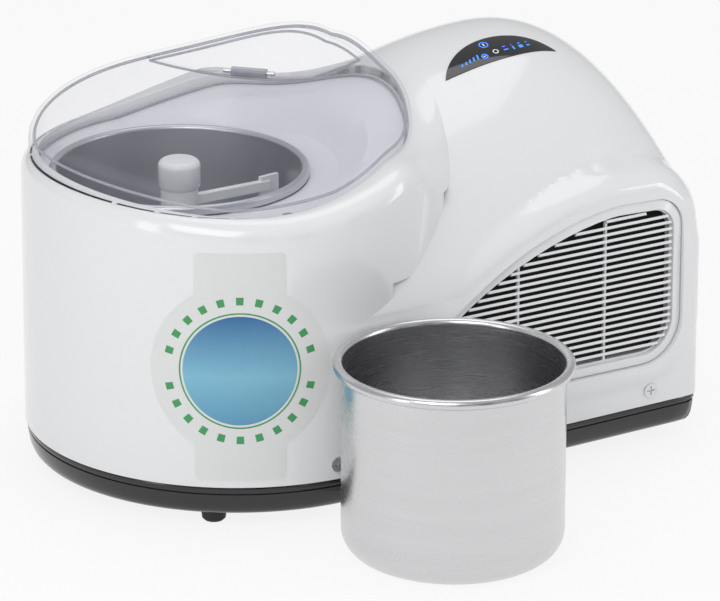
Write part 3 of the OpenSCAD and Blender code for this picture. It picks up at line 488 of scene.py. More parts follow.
def glow(name, colour, strength):
    f = Finish(name, Roughness=0.3, Emission_Strength=strength)
    cloud = f.noise(400, 1)
    dark = tuple(c * 0.8 for c in colour)
    f.set("Base Color", f.mix(cloud, dark, colour))
    f.set("Emission Color", f.mix(cloud, dark, colour))
    return f.material


def label_film():
    f = varied("label_film", (0.79, 0.80, 0.79), 0.34, 0.02, 120)
    return f.material


def label_disc():
    """A plain disc of colour that runs from pale at its top to deep blue at its foot."""
    f = Finish("label_disc", Roughness=0.3)
    height = f.node("ShaderNodeSeparateXYZ", {}, {0: f.point}, "Z")
    low = 0.107 - 0.037
    share = (height - low) / 0.074
    f.set("Base Color", f.ramp(share + f.noise(120, 2) * 0.03, [
        (0.0, (0.10, 0.32, 0.50)), (0.45, (0.22, 0.52, 0.68)), (1.0, (0.03, 0.15, 0.36))]))
    return f.material


def label_green():
    f = varied("label_green", (0.06, 0.36, 0.12), 0.34, 0.1, 200)
    return f.material


def copper():
    f = varied("copper_tube", (0.72, 0.40, 0.22), 0.3, 0.25, 90, Metallic=1.0)
    return f.material


def painted_steel():
    f = varied("black_paint", (0.02, 0.02, 0.022), 0.35, 0.3, 70, Coat_Weight=0.2)
    f.bump(f.noise(700, 2), 0.0001, 0.1)
    return f.material


def cast_metal():
    f = varied("cast_metal", (0.62, 0.63, 0.65), 0.48, 0.15, 160, Metallic=1.0)
    f.bump(f.noise(1100, 3), 0.0002, 0.3)
    return f.material


def laminations():
    f = brushed("laminations", (0.42, 0.42, 0.44), 0.45, (0.02, 0.02, 1.0))
    return f


def winding():
    f = varied("winding", (0.55, 0.20, 0.06), 0.35, 0.3, 50, Metallic=0.7)
    f.bump(f.noise(500, 1, (0.05, 0.05, 1.0)), 0.0003, 0.6)
    return f.material


def board_green():
    f = varied("board_green", (0.02, 0.20, 0.08), 0.35, 0.25, 160)
    return f.material


def nylon():
    f = varied("nylon", (0.82, 0.80, 0.72), 0.42, 0.06, 60)
    return f.material


def food_white():
    f = varied("food_white", (0.86, 0.86, 0.90), 0.25, 0.02, 30, Coat_Weight=0.2)
    return f.material


def foam():
    f = varied("foam", (0.80, 0.70, 0.42), 0.85, 0.14, 260)
    f.bump(f.noise(600, 4), 0.0006, 0.6)
    return f.material


def bronze():
    f = varied("bronze", (0.56, 0.36, 0.16), 0.42, 0.2, 300, Metallic=1.0)
    return f.material


# --- pieces ----------------------------------------------------------------------------------


def drum_bmesh():
    """The drum's wall, its rounded rim, the ring, the lid's seat and the deck with its hole."""
    seat_r = LID_R + 0.5

    def wall(z):
        return lambda t: Vector((DRUM_R * cos(t), DRUM_R * sin(t), z))

    def edge(a):
        def place(t):
            r = DRUM_R - RIM_ROUND * (1 - cos(a))
            x, y = r * cos(t), r * sin(t)
            return Vector((x, y, top_z(x, y) - RIM_ROUND * (1 - sin(a))))
        return place

    def between(share, drop, depth):
        """A ring between the rim's inner end (0) and the seat's edge (1)."""
        def place(t):
            r0, r1 = DRUM_R - RIM_ROUND, seat_r + drop
            a = Vector((r0 * cos(t), r0 * sin(t), 0))
            b = Vector((LID_X + r1 * cos(t), r1 * sin(t), 0))
            p = a.lerp(b, share)
            outward = hypot(p.x, p.y)
            over = max(0.0, outward - r0) / RIM_ROUND
            sag = RIM_ROUND * (1 - sqrt(max(0.0, 1 - over * over)))
            return Vector((p.x, p.y, top_z(p.x, p.y) - sag - depth))
        return place

    def seat(share):
        def place(t):
            x, y = LID_X + seat_r * cos(t), seat_r * sin(t)
            high = between(1, 0, 1.2)(t).z
            low = deck_at(x, y) + 1.5
            return Vector((x, y, high + (low - high) * share))
        return place

    def deck(share, inset):
        def place(t):
            r1, r2 = seat_r - 1.5, BOWL_R + 5.0
            a = Vector((LID_X + r1 * cos(t), r1 * sin(t), 0))
            b = Vector((BOWL_X + r2 * cos(t), r2 * sin(t), 0))
            p = a.lerp(b, share)
            return Vector((p.x, p.y, deck_at(p.x, p.y) - inset))
        return place

    # Near the nose the rim's rounding reaches past the seat, so the rounding stops at the seat.
    def clipped(a):
        inner = edge(a)
        def place(t):
            p = inner(t)
            d = Vector((p.x - LID_X, p.y, 0))
            if d.length < seat_r + 1.2:
                return between(1, 1.2, 0)(t)
            return p
        return place

    places = [wall(SEAM_Z), wall(SEAM_Z + 60), wall(150)]
    places += [clipped(radians(9 * k)) for k in range(0, 11)]
    places += [between(s, 1.2, 0) for s in (0.34, 0.67, 1)]
    places += [between(1, 0.3, 0.35), between(1, 0, 1.2), seat(0.5), seat(1)]
    places += [deck(s, 0) for s in (0, 0.12, 0.25, 0.4, 0.55, 0.7, 0.85, 1)]
    places += [deck(1, 6)]
    bm = rings(256, places)
    hidden = [
        f for f in bm.faces
        if f.calc_center_median().x > 30
        and hypot(f.calc_center_median().x, f.calc_center_median().y) > DRUM_R - 0.6
        and abs(f.calc_center_median().y) < hood_w(f.calc_center_median().x) - 3
        and f.calc_center_median().z < hood_z(f.calc_center_median().x, f.calc_center_median().y) - 12
    ]
    bmesh.ops.delete(bm, geom=hidden, context="FACES")
    return bm


def fender_y(x, z):
    """How far out the raised arch round a grille stands, at a height on the hood."""
    d = outline_gap(x, z)
    if d < 13:
        return GRILLE_Y + 0.6
    return GRILLE_Y + 0.6 - 30 * (1 - sqrt(max(0.0, 1 - min((d - 13) / 17, 1) ** 2))) - 3 * max(0, d - 30)


def hood_bmesh():
    """The hood as one closed skin, with the raised arches round the grilles."""
    front, body, fall, wall = 0.04, 0.6, 0.9, 1.0
    x0 = 10.0
    near = {}

    def section(x, v):
        w = hood_w(x)
        top = ridge_z(x) - 1.2 * (1 - ease((x - 30) / 75))
        foot = 0.2
        if v < foot or v > 1 - foot:
            side = 1 if v < 0.5 else -1
            share = (v if v < 0.5 else 1 - v) / foot
            y, z = w, SEAM_Z + (SPRING_Z - SEAM_Z) * share
        else:
            a = pi * (v - foot) / (1 - 2 * foot)
            side = 1 if a < pi / 2 else -1
            y, z = abs(w * cos(a)), SPRING_Z + (top - SPRING_Z) * sin(a) ** 1.42
        if x > 30:
            key = (round(x, 3), round(z, 3))
            if key not in near:
                near[key] = fender_y(x, z)
            stand = min(near[key], hood_w(x) + 2.5)
            gap = stand - y
            if gap > -10:
                y += ease((x - 28) / 25) * (gap if gap > 10 else (gap + 10) ** 2 / 40)
        return Vector((x, side * y, z))

    def place(u, v):
        if u < front:
            p = section(x0, v)
            return Vector((x0, p.y, SEAM_Z + (p.z - SEAM_Z) * u / front))
        if u < body:
            return section(x0 + (CROWN_X - x0) * (u - front) / (body - front), v)
        if u < fall:
            a = pi / 2 * (u - body) / (fall - body)
            return section(CROWN_X + REAR_ROUND * sin(a), v)
        p = section(REAR_X, v)
        return Vector((REAR_X, p.y, SEAM_Z + (p.z - SEAM_Z) * (wall - u) / (wall - fall)))

    bm = patch(190, 260, place)
    loose = [e for e in bm.edges if e.is_boundary]
    bmesh.ops.holes_fill(bm, edges=loose, sides=0)
    bmesh.ops.recalc_face_normals(bm, faces=bm.faces)
    seat = fresh()
    bmesh.ops.create_cone(
        seat, cap_ends=True, segments=256, radius1=LID_R + 0.5, radius2=LID_R + 0.5, depth=300
    )
    bmesh.ops.translate(seat, vec=(LID_X, 0, 230), verts=seat.verts)
    opening = grown_outline(9.4)
    cutters = [seat, slab(opening, -150, -GRILLE_Y + 3), slab(opening, GRILLE_Y - 3, 150)]
    inner = grown_outline(1)
    cutters += [slab(inner, -150, -GRILLE_Y + 24), slab(inner, GRILLE_Y - 24, 150)]
    return cut(bm, cutters)


def housing(materials):
    bm = into(drum_bmesh(), hood_bmesh())
    for f in bm.faces:
        c = f.calc_center_median()
        inside = hypot(c.x - LID_X, c.y) < LID_R + 0.2
        f.material_index = 1 if inside and c.z < top_z(c.x, c.y) - 1.5 else 0
    piece = lay("housing_skin", bm, materials, sharp=28)
    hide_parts("housing")
    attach(piece, "base")
    return piece


def footprint_point(t, inset):
    """The tray's outline: the drum's circle joined to the two rear corners."""
    direction = Vector((cos(t), sin(t)))
    corner_x, corner_y = REAR_X - REAR_CORNER_R, REAR_HALF_W - REAR_CORNER_R
    corner = Vector((corner_x, corner_y))
    tilt = acos((DRUM_R - REAR_CORNER_R) / corner.length) + atan2(corner_y, corner_x)
    normal = Vector((cos(tilt), sin(tilt)))
    mirrored = Vector((direction.x, abs(direction.y)))
    best = DRUM_R - inset
    if atan2(mirrored.y, mirrored.x) < tilt:
        best /= max(mirrored.dot(normal), 1e-6)
        wall = (REAR_X - inset) / max(mirrored.x, 1e-6)
        best = min(best, wall)
        along = mirrored * best - corner
        r = REAR_CORNER_R - min(inset, REAR_CORNER_R - 1)
        if along.x > 0 and along.dot(Vector((-normal.y, normal.x))) < 0:
            b = mirrored.dot(corner)
            c = corner.length_squared - r * r
            best = min(best, b + sqrt(max(0.0, b * b - c)))
    return direction * best


def tray(material):
    def ring(inset, z):
        return lambda t: Vector((*footprint_point(t, inset), z))

    levels = [(60, 9.2), (12, 9.0), (8, 9.1), (5.6, 10), (3.8, 12), (2.6, 15), (1.9, 19), (1.5, 22),
              (1.4, 23.4), (2.3, 23.8), (2.3, 24.6), (1.1, 25), (0.9, 25.6), (0.9, 28), (1.3, 28.6),
              (4.5, 28.8)]
    bm = rings(360, [ring(*level) for level in levels])
    piece = lay("tray_skin", bm, [material], sharp=40)
    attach(piece, "base")
    return piece


def slat_span(z):
    """Where a level line crosses the louvres' outline."""
    hits = []
    for (x0, z0), (x1, z1) in zip(OUTLINE, OUTLINE[1:] + OUTLINE[:1]):
        if (z0 > z) != (z1 > z):
            hits.append(x0 + (z - z0) * (x1 - x0) / (z1 - z0))
    return (min(hits), max(hits)) if len(hits) > 1 else None


def block(bm, low, high, tilt=0.0):
    """A box between two corners, leaned about X."""
    made = bmesh.ops.create_cube(bm, size=1)["verts"]
    low, high = Vector(low), Vector(high)
    bmesh.ops.scale(bm, vec=high - low, verts=made)
    if tilt:
        bmesh.ops.rotate(bm, cent=(0, 0, 0), matrix=Matrix.Rotation(tilt, 3, "X"), verts=made)
    bmesh.ops.translate(bm, vec=(low + high) / 2, verts=made)
    return made


def grille(side, white, dark):
    """Frame with rounded edges, leaning slats and two ribs in front of a near-black sheet, painted shade for
    the dark inside behind the grille.
    """
    y = side * GRILLE_Y
    bm = fresh()
    outer = bm.faces.new([bm.verts.new((x, y + side * 0.1, z)) for x, z in grown_outline(8.7)])
    bmesh.ops.inset_individual(bm, faces=[outer], thickness=1.1, depth=0)
    bmesh.ops.inset_individual(bm, faces=[outer], thickness=6.2, depth=0)
    bmesh.ops.recalc_face_normals(bm, faces=bm.faces)
    bmesh.ops.delete(bm, geom=[outer], context="FACES_ONLY")
    walls = bmesh.ops.extrude_edge_only(bm, edges=[e for e in bm.edges if e.is_boundary])["geom"]
    back = [g for g in walls if isinstance(g, bmesh.types.BMVert)]
    bmesh.ops.translate(bm, vec=(0, -side * 3, 0), verts=back)
    for v in bm.verts:
        if outline_gap(v.co.x, v.co.z) > 8.2 and abs(v.co.y) > GRILLE_Y - 1:
            v.co.y -= side * 1.2
    for step in range(1, 22):
        z = LOUVRE_LOW + 4.5 * step - 1.2
        span = slat_span(z)
        if span and span[1] - span[0] > 6:
            block(bm, (span[0] - 1.5, y - side * 1.6 - 1.1, z - 0.9),
                  (span[1] + 1.5, y - side * 1.6 + 1.1, z + 0.9), side * 0.5)
    for x in (129, 195):
        tops = [z for z in range(int(LOUVRE_LOW), int(LOUVRE_HIGH)) if slat_span(z + 0.5)
                and slat_span(z + 0.5)[0] < x]
        block(bm, (x, y - side * 3.6 - 1, min(tops) - 1), (x + 1.6, y - side * 3.6 + 1, max(tops) + 2))
    bmesh.ops.recalc_face_normals(bm, faces=bm.faces)
    # A near-black sheet behind the slats: painted shade where the hood's inside lies in shadow.
    shade_sheet = slab(grown_outline(2), y - side * 9, y - side * 8)
    for f in shade_sheet.faces:
        f.material_index = 1
    into(bm, shade_sheet)
    name = "front" if side < 0 else "back"
    piece = lay(name + "_louvres", bm, [white, dark], sharp=40)
    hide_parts(name + "_grille")
    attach(piece, "base")


def window_point(u, v, grow=0.0, lift=0.5):
    """A point of the half-moon window, by shares along and across it."""
    r = (WINDOW_HALF**2 + WINDOW_DEEP**2) / (2 * WINDOW_DEEP)
    half = WINDOW_HALF + grow
    x = half * (2 * u - 1)
    deep = sqrt(max(0.0, (r + grow) ** 2 - x * x)) - (r - WINDOW_DEEP)
    y = -grow + (max(deep, 0) + grow) * v
    px, py = WINDOW_MID[0] + x, WINDOW_MID[1] + y
    return Vector((px, py, hood_z(px, py) + lift))


def control_window(black, blue, white):
    bm = patch(64, 24, lambda u, v: window_point(u, v))
    rim = [e for e in bm.edges if e.is_boundary]
    skirt = bmesh.ops.extrude_edge_only(bm, edges=rim)["geom"]
    bmesh.ops.translate(
        bm, vec=(0, 0, -1.2), verts=[g for g in skirt if isinstance(g, bmesh.types.BMVert)]
    )
    bmesh.ops.recalc_face_normals(bm, faces=bm.faces)
    piece = lay("window_pane", bm, [black], sharp=40)
    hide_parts("control_window")
    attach(piece, "base")

    def on_pane(x, y):
        px, py = WINDOW_MID[0] + x, WINDOW_MID[1] + y
        return Vector((px, py, hood_z(px, py) + 0.6))

    marks = fresh()

    def dash(x, y, w, h, lean=0.0):
        return patch(2, 2, lambda u, v: on_pane(x + w * (u - 0.5) + lean * (v - 0.5), y + h * (v - 0.5)))

    def circle_mark(x, y, r, t=0.8):
        place = lambda q: (lambda a: on_pane(x + q * cos(a), y + q * sin(a)))
        return rings(32, [place(r), place(r - t)])

    for k in range(5):
        into(marks, dash(-26 + 3.2 * k, 5.2 + 0.5 * k, 1.1, 2.2 + 0.5 * k, 1.2))
    into(marks, circle_mark(-3, 16.5, 3.2))
    into(marks, circle_mark(-8.5, 6.0, 2.3))
    for k, (w, h) in enumerate(((3.4, 1.0), (1.2, 3.2), (3.0, 2.6), (2.4, 1.2))):
        into(marks, dash(8 + 5.6 * k, 6.4, w, h))
        into(marks, dash(8 + 5.6 * k, 9.6, w * 0.6, 0.8))
    blue_marks = lay("window_icons", marks, [blue], sharp=40)
    pale = fresh()
    into(pale, dash(-3, 16.5, 0.9, 2.6))
    into(pale, circle_mark(0.5, 7.2, 2.0, 0.6))
    into(pale, dash(-8.5, 6.0, 2.0, 0.7))
    white_marks = lay("window_marks", pale, [white], sharp=40)
    for mark in (blue_marks, white_marks):
        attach(mark, "base")


def label(film, disc, green):
    """A round label with two tabs, wrapped on the drum. It carries a plain disc and rings."""
    mid_z, round_r, tab = 107.0, 57.0, 28.7
    low_z, high_z = 34.0, 184.0

    def wrap(x, z, lift):
        a = LABEL_TURN + x / DRUM_R
        r = DRUM_R + lift
        return Vector((r * cos(a), r * sin(a), z))

    def half_width(z):
        d = abs(z - mid_z)
        disc_w = sqrt(max(0.0, round_r**2 - d * d))
        return max(disc_w, tab)

    def sheet(u, v):
        z = low_z + (high_z - low_z) * v
        corner = 3.0
        from_end = min(z - low_z, high_z - z)
        w = half_width(z)
        if from_end < corner:
            w = w - corner + sqrt(max(0.0, corner**2 - (corner - from_end) ** 2))
        return wrap(w * (2 * u - 1), z, 0.3)

    bm = patch(48, 150, sheet)
    rim = [e for e in bm.edges if e.is_boundary]
    skirt = bmesh.ops.extrude_edge_only(bm, edges=rim)["geom"]
    for v in (g for g in skirt if isinstance(g, bmesh.types.BMVert)):
        shrink = (DRUM_R - 0.1) / hypot(v.co.x, v.co.y)
        v.co.x *= shrink
        v.co.y *= shrink
    bmesh.ops.recalc_face_normals(bm, faces=bm.faces)
    sheet_piece = lay("label_sheet", bm, [film], sharp=50)
    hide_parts("front_label")

    def ring_on(r, lift=0.38):
        return lambda t: wrap(r * cos(t), mid_z + r * sin(t), lift)

    dot = lay("label_centre", rings(96, [ring_on(r) for r in (*range(36, 1, -2), 0.01)]), [disc])
    bands = rings(96, [ring_on(38.4), ring_on(37.4)])
    for k in range(24):
        a = radians(15 * k)
        if abs(sin(a)) > 0.2:
            place = lambda u, v, a=a: wrap(
                (43.5 + 5 * v) * cos(a + (u - 0.5) * 0.1), mid_z + (43.5 + 5 * v) * sin(a + (u - 0.5) * 0.1),
                0.38)
            into(bands, patch(4, 2, place))
    marks = lay("label_rings", bands, [green])
    for piece in (sheet_piece, dot, marks):
        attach(piece, "base")


def lid_ring(share, drop=0.0):
    """A ring of the lid's top skin, by its share of the radius."""
    def place(t):
        x, y = LID_X + LID_R * share * cos(t), LID_R * share * sin(t)
        return Vector((x, y, lid_z(x, y) - drop))
    return place


def lid_wall_ring(share):
    """A ring of the lid's wall: 0 at its foot, 1 where the top's rounding starts."""
    def place(t):
        x, y = LID_X + LID_R * cos(t), LID_R * sin(t)
        low, high = deck_at(x, y) + 0.4, lid_z(x, y) - 3
        return Vector((x, y, low + (high - low) * share))
    return place


def clear_shell(bm, thick):
    bmesh.ops.recalc_face_normals(bm, faces=bm.faces)
    bmesh.ops.solidify(bm, geom=bm.faces[:], thickness=thick)


def lid(clear, edge):
    places = [lid_wall_ring(s) for s in (0, 0.1, 0.5, 0.9, 1)]
    places += [lid_ring(1 - 0.0252 * (1 - cos(a)), 3 * (1 - sin(a)))
               for a in (radians(18 * k) for k in range(1, 6))]
    shares = [0.96, 0.94, 0.92, 0.9, 0.88, 0.86, 0.84, 0.82, 0.8, 0.78, 0.76, 0.74, 0.72, 0.7, 0.67,
              0.64, 0.61, 0.58, 0.5, 0.4, 0.3, 0.2, 0.1, 0.001]
    places += [lid_ring(s) for s in shares]
    bm = rings(288, places)
    cutter = flap_prism(0.4)
    clear_shell(bm, -2.5)
    bm = cut(bm, [cutter])
    piece = lay("lid_shell", bm, [clear], sharp=50)
    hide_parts("lid")
    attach(piece, "lid")

    def bead(z_share, r, size, name):
        """A thin bead that marks where the plastic's edge gathers light."""
        def at(a):
            def place(t):
                q = r + size * cos(a)
                x, y = LID_X + q * cos(t), q * sin(t)
                base = lid_wall_ring(z_share)(t).z if z_share < 1 else lid_z(x, y) - 1.2
                return Vector((x, y, base + size * sin(a)))
            return place
        ring_bm = rings(288, [at(radians(60 * k)) for k in range(7)])
        made = lay(name, ring_bm, [edge])
        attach(made, "lid")

    bead(0.02, LID_R - 1.3, 0.9, "lid_foot_bead")
    bead(1, LID_R - 1.4, 1.0, "lid_top_bead")
    return piece


def flap_outline(grow):
    """The flap's lens outline as (x, y) points."""
    points = []
    outer = LID_R - 6 + grow
    centre = FLAP_EDGE + FLAP_ARC_R
    inner = FLAP_ARC_R + grow
    meet = (outer**2 - inner**2 + centre**2) / (2 * centre)
    half = acos(meet / outer)
    swing = acos((centre - meet) / inner)
    for k in range(49):
        a = SPOUT_TURN - half + 2 * half * k / 48
        points.append((LID_X + outer * cos(a), outer * sin(a)))
    for k in range(1, 48):
        a = SPOUT_TURN + pi - swing + 2 * swing * k / 48
        points.append((LID_X + centre * cos(SPOUT_TURN) + inner * cos(a),
                       centre * sin(SPOUT_TURN) + inner * sin(a)))
    return points


def flap_prism(grow):
    bm = fresh()
    face = bm.faces.new([bm.verts.new((x, y, 190)) for x, y in flap_outline(grow)])
    up = bmesh.ops.extrude_face_region(bm, geom=[face])["geom"]
    bmesh.ops.translate(bm, vec=(0, 0, 110), verts=[g for g in up if isinstance(g, bmesh.types.BMVert)])
    bmesh.ops.recalc_face_normals(bm, faces=bm.faces)
    return bm


def flap(clear, edge):
    def skin(u, v):
        reach = FLAP_EDGE - 4 + (LID_R - 4 - FLAP_EDGE + 4) * v
        side = 84 * (2 * u - 1)
        x = LID_X + reach * cos(SPOUT_TURN) - side * sin(SPOUT_TURN)
        y = reach * sin(SPOUT_TURN) + side * cos(SPOUT_TURN)
        return Vector((x, y, lid_z(x, y)))

    bm = patch(96, 36, skin)
    clear_shell(bm, -2.2)
    out = cut(bm, [flap_prism(-0.4)], "INTERSECT")
    piece = lay("flap_shell", out, [clear], sharp=50)
    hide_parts("lid_flap")
    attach(piece, "flap")
    outline = flap_outline(-1.2)
    count = len(outline)

    # A thin grey bead round the flap's outline: painted highlight where the plastic's edge gathers light.
    def bead(a):
        def place(t):
            q = (t % (2 * pi)) / (2 * pi) * count
            (xa, ya), (xb, yb) = outline[int(q) % count], outline[(int(q) + 1) % count]
            x, y = xa + (xb - xa) * (q % 1), ya + (yb - ya) * (q % 1)
            return Vector((x, y, lid_z(x, y) - 0.9 + 0.95 * sin(a)))
        return place

    def at(a):
        inner = bead(a)
        def place(t):
            p = inner(t)
            mid = Vector((LID_X + 92 * cos(SPOUT_TURN), 92 * sin(SPOUT_TURN), 0))
            d = Vector((p.x - mid.x, p.y - mid.y, 0)).normalized()
            return p + d * 0.8 * cos(a)
        return place
    border = lay("flap_edge_highlight", rings(count * 2, [at(radians(60 * k)) for k in range(7)]), [edge])
    knuckle = turned([(1.58, -11.7), (3, -11.7), (3, 11.7), (1.58, 11.7), (1.58, -11.7)], 32)
    mid = middle("flap_hinge_pin")
    for turn, axis in ((pi / 2, "X"), (SPOUT_TURN, "Z")):
        matrix = Matrix.Rotation(turn, 3, axis)
        bmesh.ops.rotate(knuckle, cent=(0, 0, 0), matrix=matrix, verts=knuckle.verts)
    bmesh.ops.translate(knuckle, vec=(mid - AXIS) / MM, verts=knuckle.verts)
    sleeve = lay("flap_knuckle", knuckle, [edge])
    for made in (border, sleeve):
        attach(made, "flap")


def fixed_bowl(metal):
    r, t, floor_z, rim_z = BOWL_R, 1.5, 100.0, 203.0
    out, bend = r + t, 12.0
    rim = 2.5
    profile = [(6.05, floor_z - t), (6.05, 150), (8.2, 150), (8.2, floor_z + 1), (9.2, floor_z)]
    profile += arc(r - bend, floor_z + bend, bend, -90, 0)
    profile += arc(r + rim, rim_z - rim, rim, 180, 0, 12)
    profile += [(r + 2 * rim, 197.5), (out, 197.5)]
    profile += arc(out - bend, floor_z - t + bend, bend, 0, -90)
    profile += [(6.05, floor_z - t)]
    piece = lay("bowl_skin", turned(profile, 160, (BOWL_X, 0)), [metal], sharp=40)
    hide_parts("fixed_bowl")
    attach(piece, "base")


def loose_bowl(metal):
    rim_r, r, high, bend = 75.0, 69.5, 127.0, 17.0
    roll = (rim_r - r + 1) / 2
    profile = [(0.01, 0.3), (r - bend - 6, 0.3), (r - bend - 4, 0)]
    profile += arc(r - bend, bend, bend, -90, 0, 12)
    profile += [(r, 40), (r, 80), (r, high - 2 * roll - 1)]
    profile += arc(rim_r - roll, high - roll, roll, -70, 180, 20)
    profile += [(r - 1, 80), (r - 1, 40)]
    profile += arc(r - bend, bend, bend - 1, 0, -90, 12)
    profile += [(0.01, 1)]
    mid = (middle("removable_bowl") - AXIS) / MM
    piece = lay("loose_bowl_skin", turned(profile, 192, (mid.x, mid.y)), [metal], sharp=50)
    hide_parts("removable_bowl")
    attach(piece, "loose_bowl")


def knob(white):
    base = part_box("paddle_knob")[0][2] / MM
    r = 13.5
    profile = [(2.7, base), (r - 1, base), (r, base + 1.5), (r, base + 13.5)]
    profile += arc(r - 4.5, base + 14, 4.5, 0, 90, 8)
    profile += [(4, base + 18.8), (0.01, base + 18.9)]
    piece = lay("knob_skin", turned(profile, 96, (BOWL_X, 0)), [white], sharp=50)
    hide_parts("paddle_knob")
    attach(piece, "drive")


# --- add-on ----------------------------------------------------------------------------------


class LookSettings(bpy.types.PropertyGroup):
    key_power: bpy.props.FloatProperty(
        name="Key light", description="Power of the big soft light", default=9.0, min=0.0, unit="POWER")
    fill_power: bpy.props.FloatProperty(
        name="Fill light", description="Power of the side light", default=4.5, min=0.0, unit="POWER")
    sky: bpy.props.FloatProperty(
        name="Sky", description="Strength of the even light from all round", default=0.5, min=0.0)
    body_colour: bpy.props.FloatVectorProperty(
        name="Body colour", description="Colour of the gloss housing", subtype="COLOR", size=3,
        default=(0.86, 0.865, 0.87))


def remember(maker):
    """Makes a material once and hands out the same one afterwards."""
    if maker not in remember.made:
        remember.made[maker] = maker()
    return remember.made[maker]


remember.made = {}


def steel_round():
    return brushed("bowl_steel", (0.74, 0.74, 0.75), 0.24, (0.03, 0.03, 1.0), 0.25)


def bowl_metal():
    return brushed("churn_metal", (0.62, 0.63, 0.68), 0.34, (0.03, 0.03, 1.0), 0.2)


def zinc():
    return brushed("zinc", (0.75, 0.76, 0.78), 0.3, (1.0, 1.0, 0.1), 0.2)


def light_blue():
    return glow("icon_blue", (0.05, 0.22, 0.95), 1.1)


def light_white():
    return glow("icon_white", (0.75, 0.80, 0.88), 0.5)


INSIDE = {
    "feet": rubber, "housing_screws": zinc, "display_board": board_green, "bowl_seal": rubber,
    "evaporator_coil": copper, "bowl_insulation": foam, "gearbox_case": cast_metal,
    "gearbox_cover": cast_metal, "gearbox_screws": zinc, "shaft_bush": bronze, "shaft_seal": rubber,
    "drive_shaft": zinc, "output_gear": nylon, "layshaft_gear": nylon, "motor_stator": laminations,
    "motor_winding": winding, "motor_bridge": cast_metal, "motor_rotor": laminations,
    "paddle": food_white, "compressor": painted_steel, "compressor_mounts": rubber,
    "compressor_terminal_cover": tray_black, "condenser": painted_steel, "fan_shroud": tray_black,
    "fan_motor": laminations, "fan_impeller": tray_black, "filter_drier": copper,
    "discharge_pipe": copper, "liquid_pipe": copper, "capillary_tube": copper,
    "suction_pipe": copper, "control_board": board_green, "board_posts": nylon,
    "cord_gland": rubber, "flap_hinge_pin": zinc, "lid_magnet": laminations,
    "reed_switch": tray_black, "base_tray": tray_black,
}


class MakeStage(bpy.types.Operator):
    """Floor, lights, sky and camera"""
    bl_idname = "icecream.stage"
    bl_label = "Stage"

    def execute(self, context):
        look = context.scene.icecream_look
        f = Finish("floor_white", Base_Color=(0.9, 0.9, 0.9), Roughness=0.9)
        tree = f.tree
        seen = f.node("ShaderNodeLightPath", {}, {}, "Is Camera Ray")
        glossy = f.node("ShaderNodeLightPath", {}, {}, "Is Glossy Ray")
        through = f.node("ShaderNodeLightPath", {}, {}, "Is Transmission Ray")
        mirrored = (glossy + through) * 0.8
        share = f.node("ShaderNodeMath", {"operation": "MAXIMUM"}, {0: seen * 0.86, 1: mirrored})
        shine = tree.nodes.new("ShaderNodeEmission")
        shine.inputs["Color"].default_value = (1, 1, 1, 1)
        blend = tree.nodes.new("ShaderNodeMixShader")
        tree.links.new(share.socket, blend.inputs[0])
        tree.links.new(f.shader.outputs[0], blend.inputs[1])
        tree.links.new(shine.outputs[0], blend.inputs[2])
        tree.links.new(blend.outputs[0], tree.nodes["Material Output"].inputs[0])
        bm = fresh()
        bmesh.ops.create_grid(bm, x_segments=1, y_segments=1, size=6)
        floor = lay("floor", bm, [f.material], smooth=False, to_metres=False)

        world = bpy.data.worlds.new("studio")
        context.scene.world = world
        world.use_nodes = True
        sky = world.node_tree
        back = sky.nodes["Background"]
        back.inputs[0].default_value = (0.97, 0.98, 1.0, 1)
        back.inputs[1].default_value = look.sky
        bright = sky.nodes.new("ShaderNodeBackground")
        bright.inputs[0].default_value = (1, 1, 1, 1)
        path = sky.nodes.new("ShaderNodeLightPath")
        mix = sky.nodes.new("ShaderNodeMixShader")
        sky.links.new(path.outputs["Is Camera Ray"], mix.inputs[0])
        sky.links.new(back.outputs[0], mix.inputs[1])
        sky.links.new(bright.outputs[0], mix.inputs[2])
        sky.links.new(mix.outputs[0], sky.nodes["World Output"].inputs[0])

        low, high = CAD_BOX
        target = (Vector(low) + Vector(high)) / 2

        def soft_light(name, place, size, power):
            lamp = bpy.data.lights.new(name, "AREA")
            lamp.shape, lamp.size, lamp.size_y, lamp.energy = "RECTANGLE", size[0], size[1], power
            made = bpy.data.objects.new(name, lamp)
            made.location = place
            made.rotation_euler = (target - Vector(place)).to_track_quat("-Z", "Y").to_euler()
            context.scene.collection.objects.link(made)

        soft_light("key", (-1.1, -1.0, 1.3), (1.0, 1.0), look.key_power)
        soft_light("side", (1.25, -1.0, 0.55), (0.35, 1.3), look.fill_power)
        soft_light("left_strip", (-1.5, -0.35, 0.45), (0.3, 1.2), look.fill_power * 0.6)
        soft_light("overhead", (0.15, 0.35, 1.7), (1.4, 0.9), look.fill_power * 1.1)

        card_black = varied("card_black", (0.02, 0.02, 0.02), 0.9, 0.1, 5).material
        for name, x in (("card_left", -0.62), ("card_mid", -0.1), ("card_right", 0.55)):
            bm = fresh()
            block(bm, (x - 0.11, -1.3, 0.02), (x + 0.11, -1.28, 1.0))
            card = lay(name, bm, [card_black], smooth=False, to_metres=False)
            card.visible_camera = False
            card.visible_diffuse = False
            card.visible_shadow = False

        turn, rise, reach = radians(-31.115), radians(19.973), 3.905
        behind = Vector((sin(turn) * cos(rise), -cos(turn) * cos(rise), sin(rise)))
        aim = AXIS + Vector((0.06, 0, 0.1))
        view = bpy.data.cameras.new("camera")
        view.sensor_width, view.lens, view.clip_end = 36, 302, 100
        view.shift_x, view.shift_y = 0.0575, -0.0165
        camera = bpy.data.objects.new("camera", view)
        camera.location = aim + behind * reach
        camera.rotation_euler = (-behind).to_track_quat("-Z", "Y").to_euler()
        context.scene.collection.objects.link(camera)
        context.scene.camera = camera
        context.scene.view_settings.view_transform = "Standard"
        return {"FINISHED"}


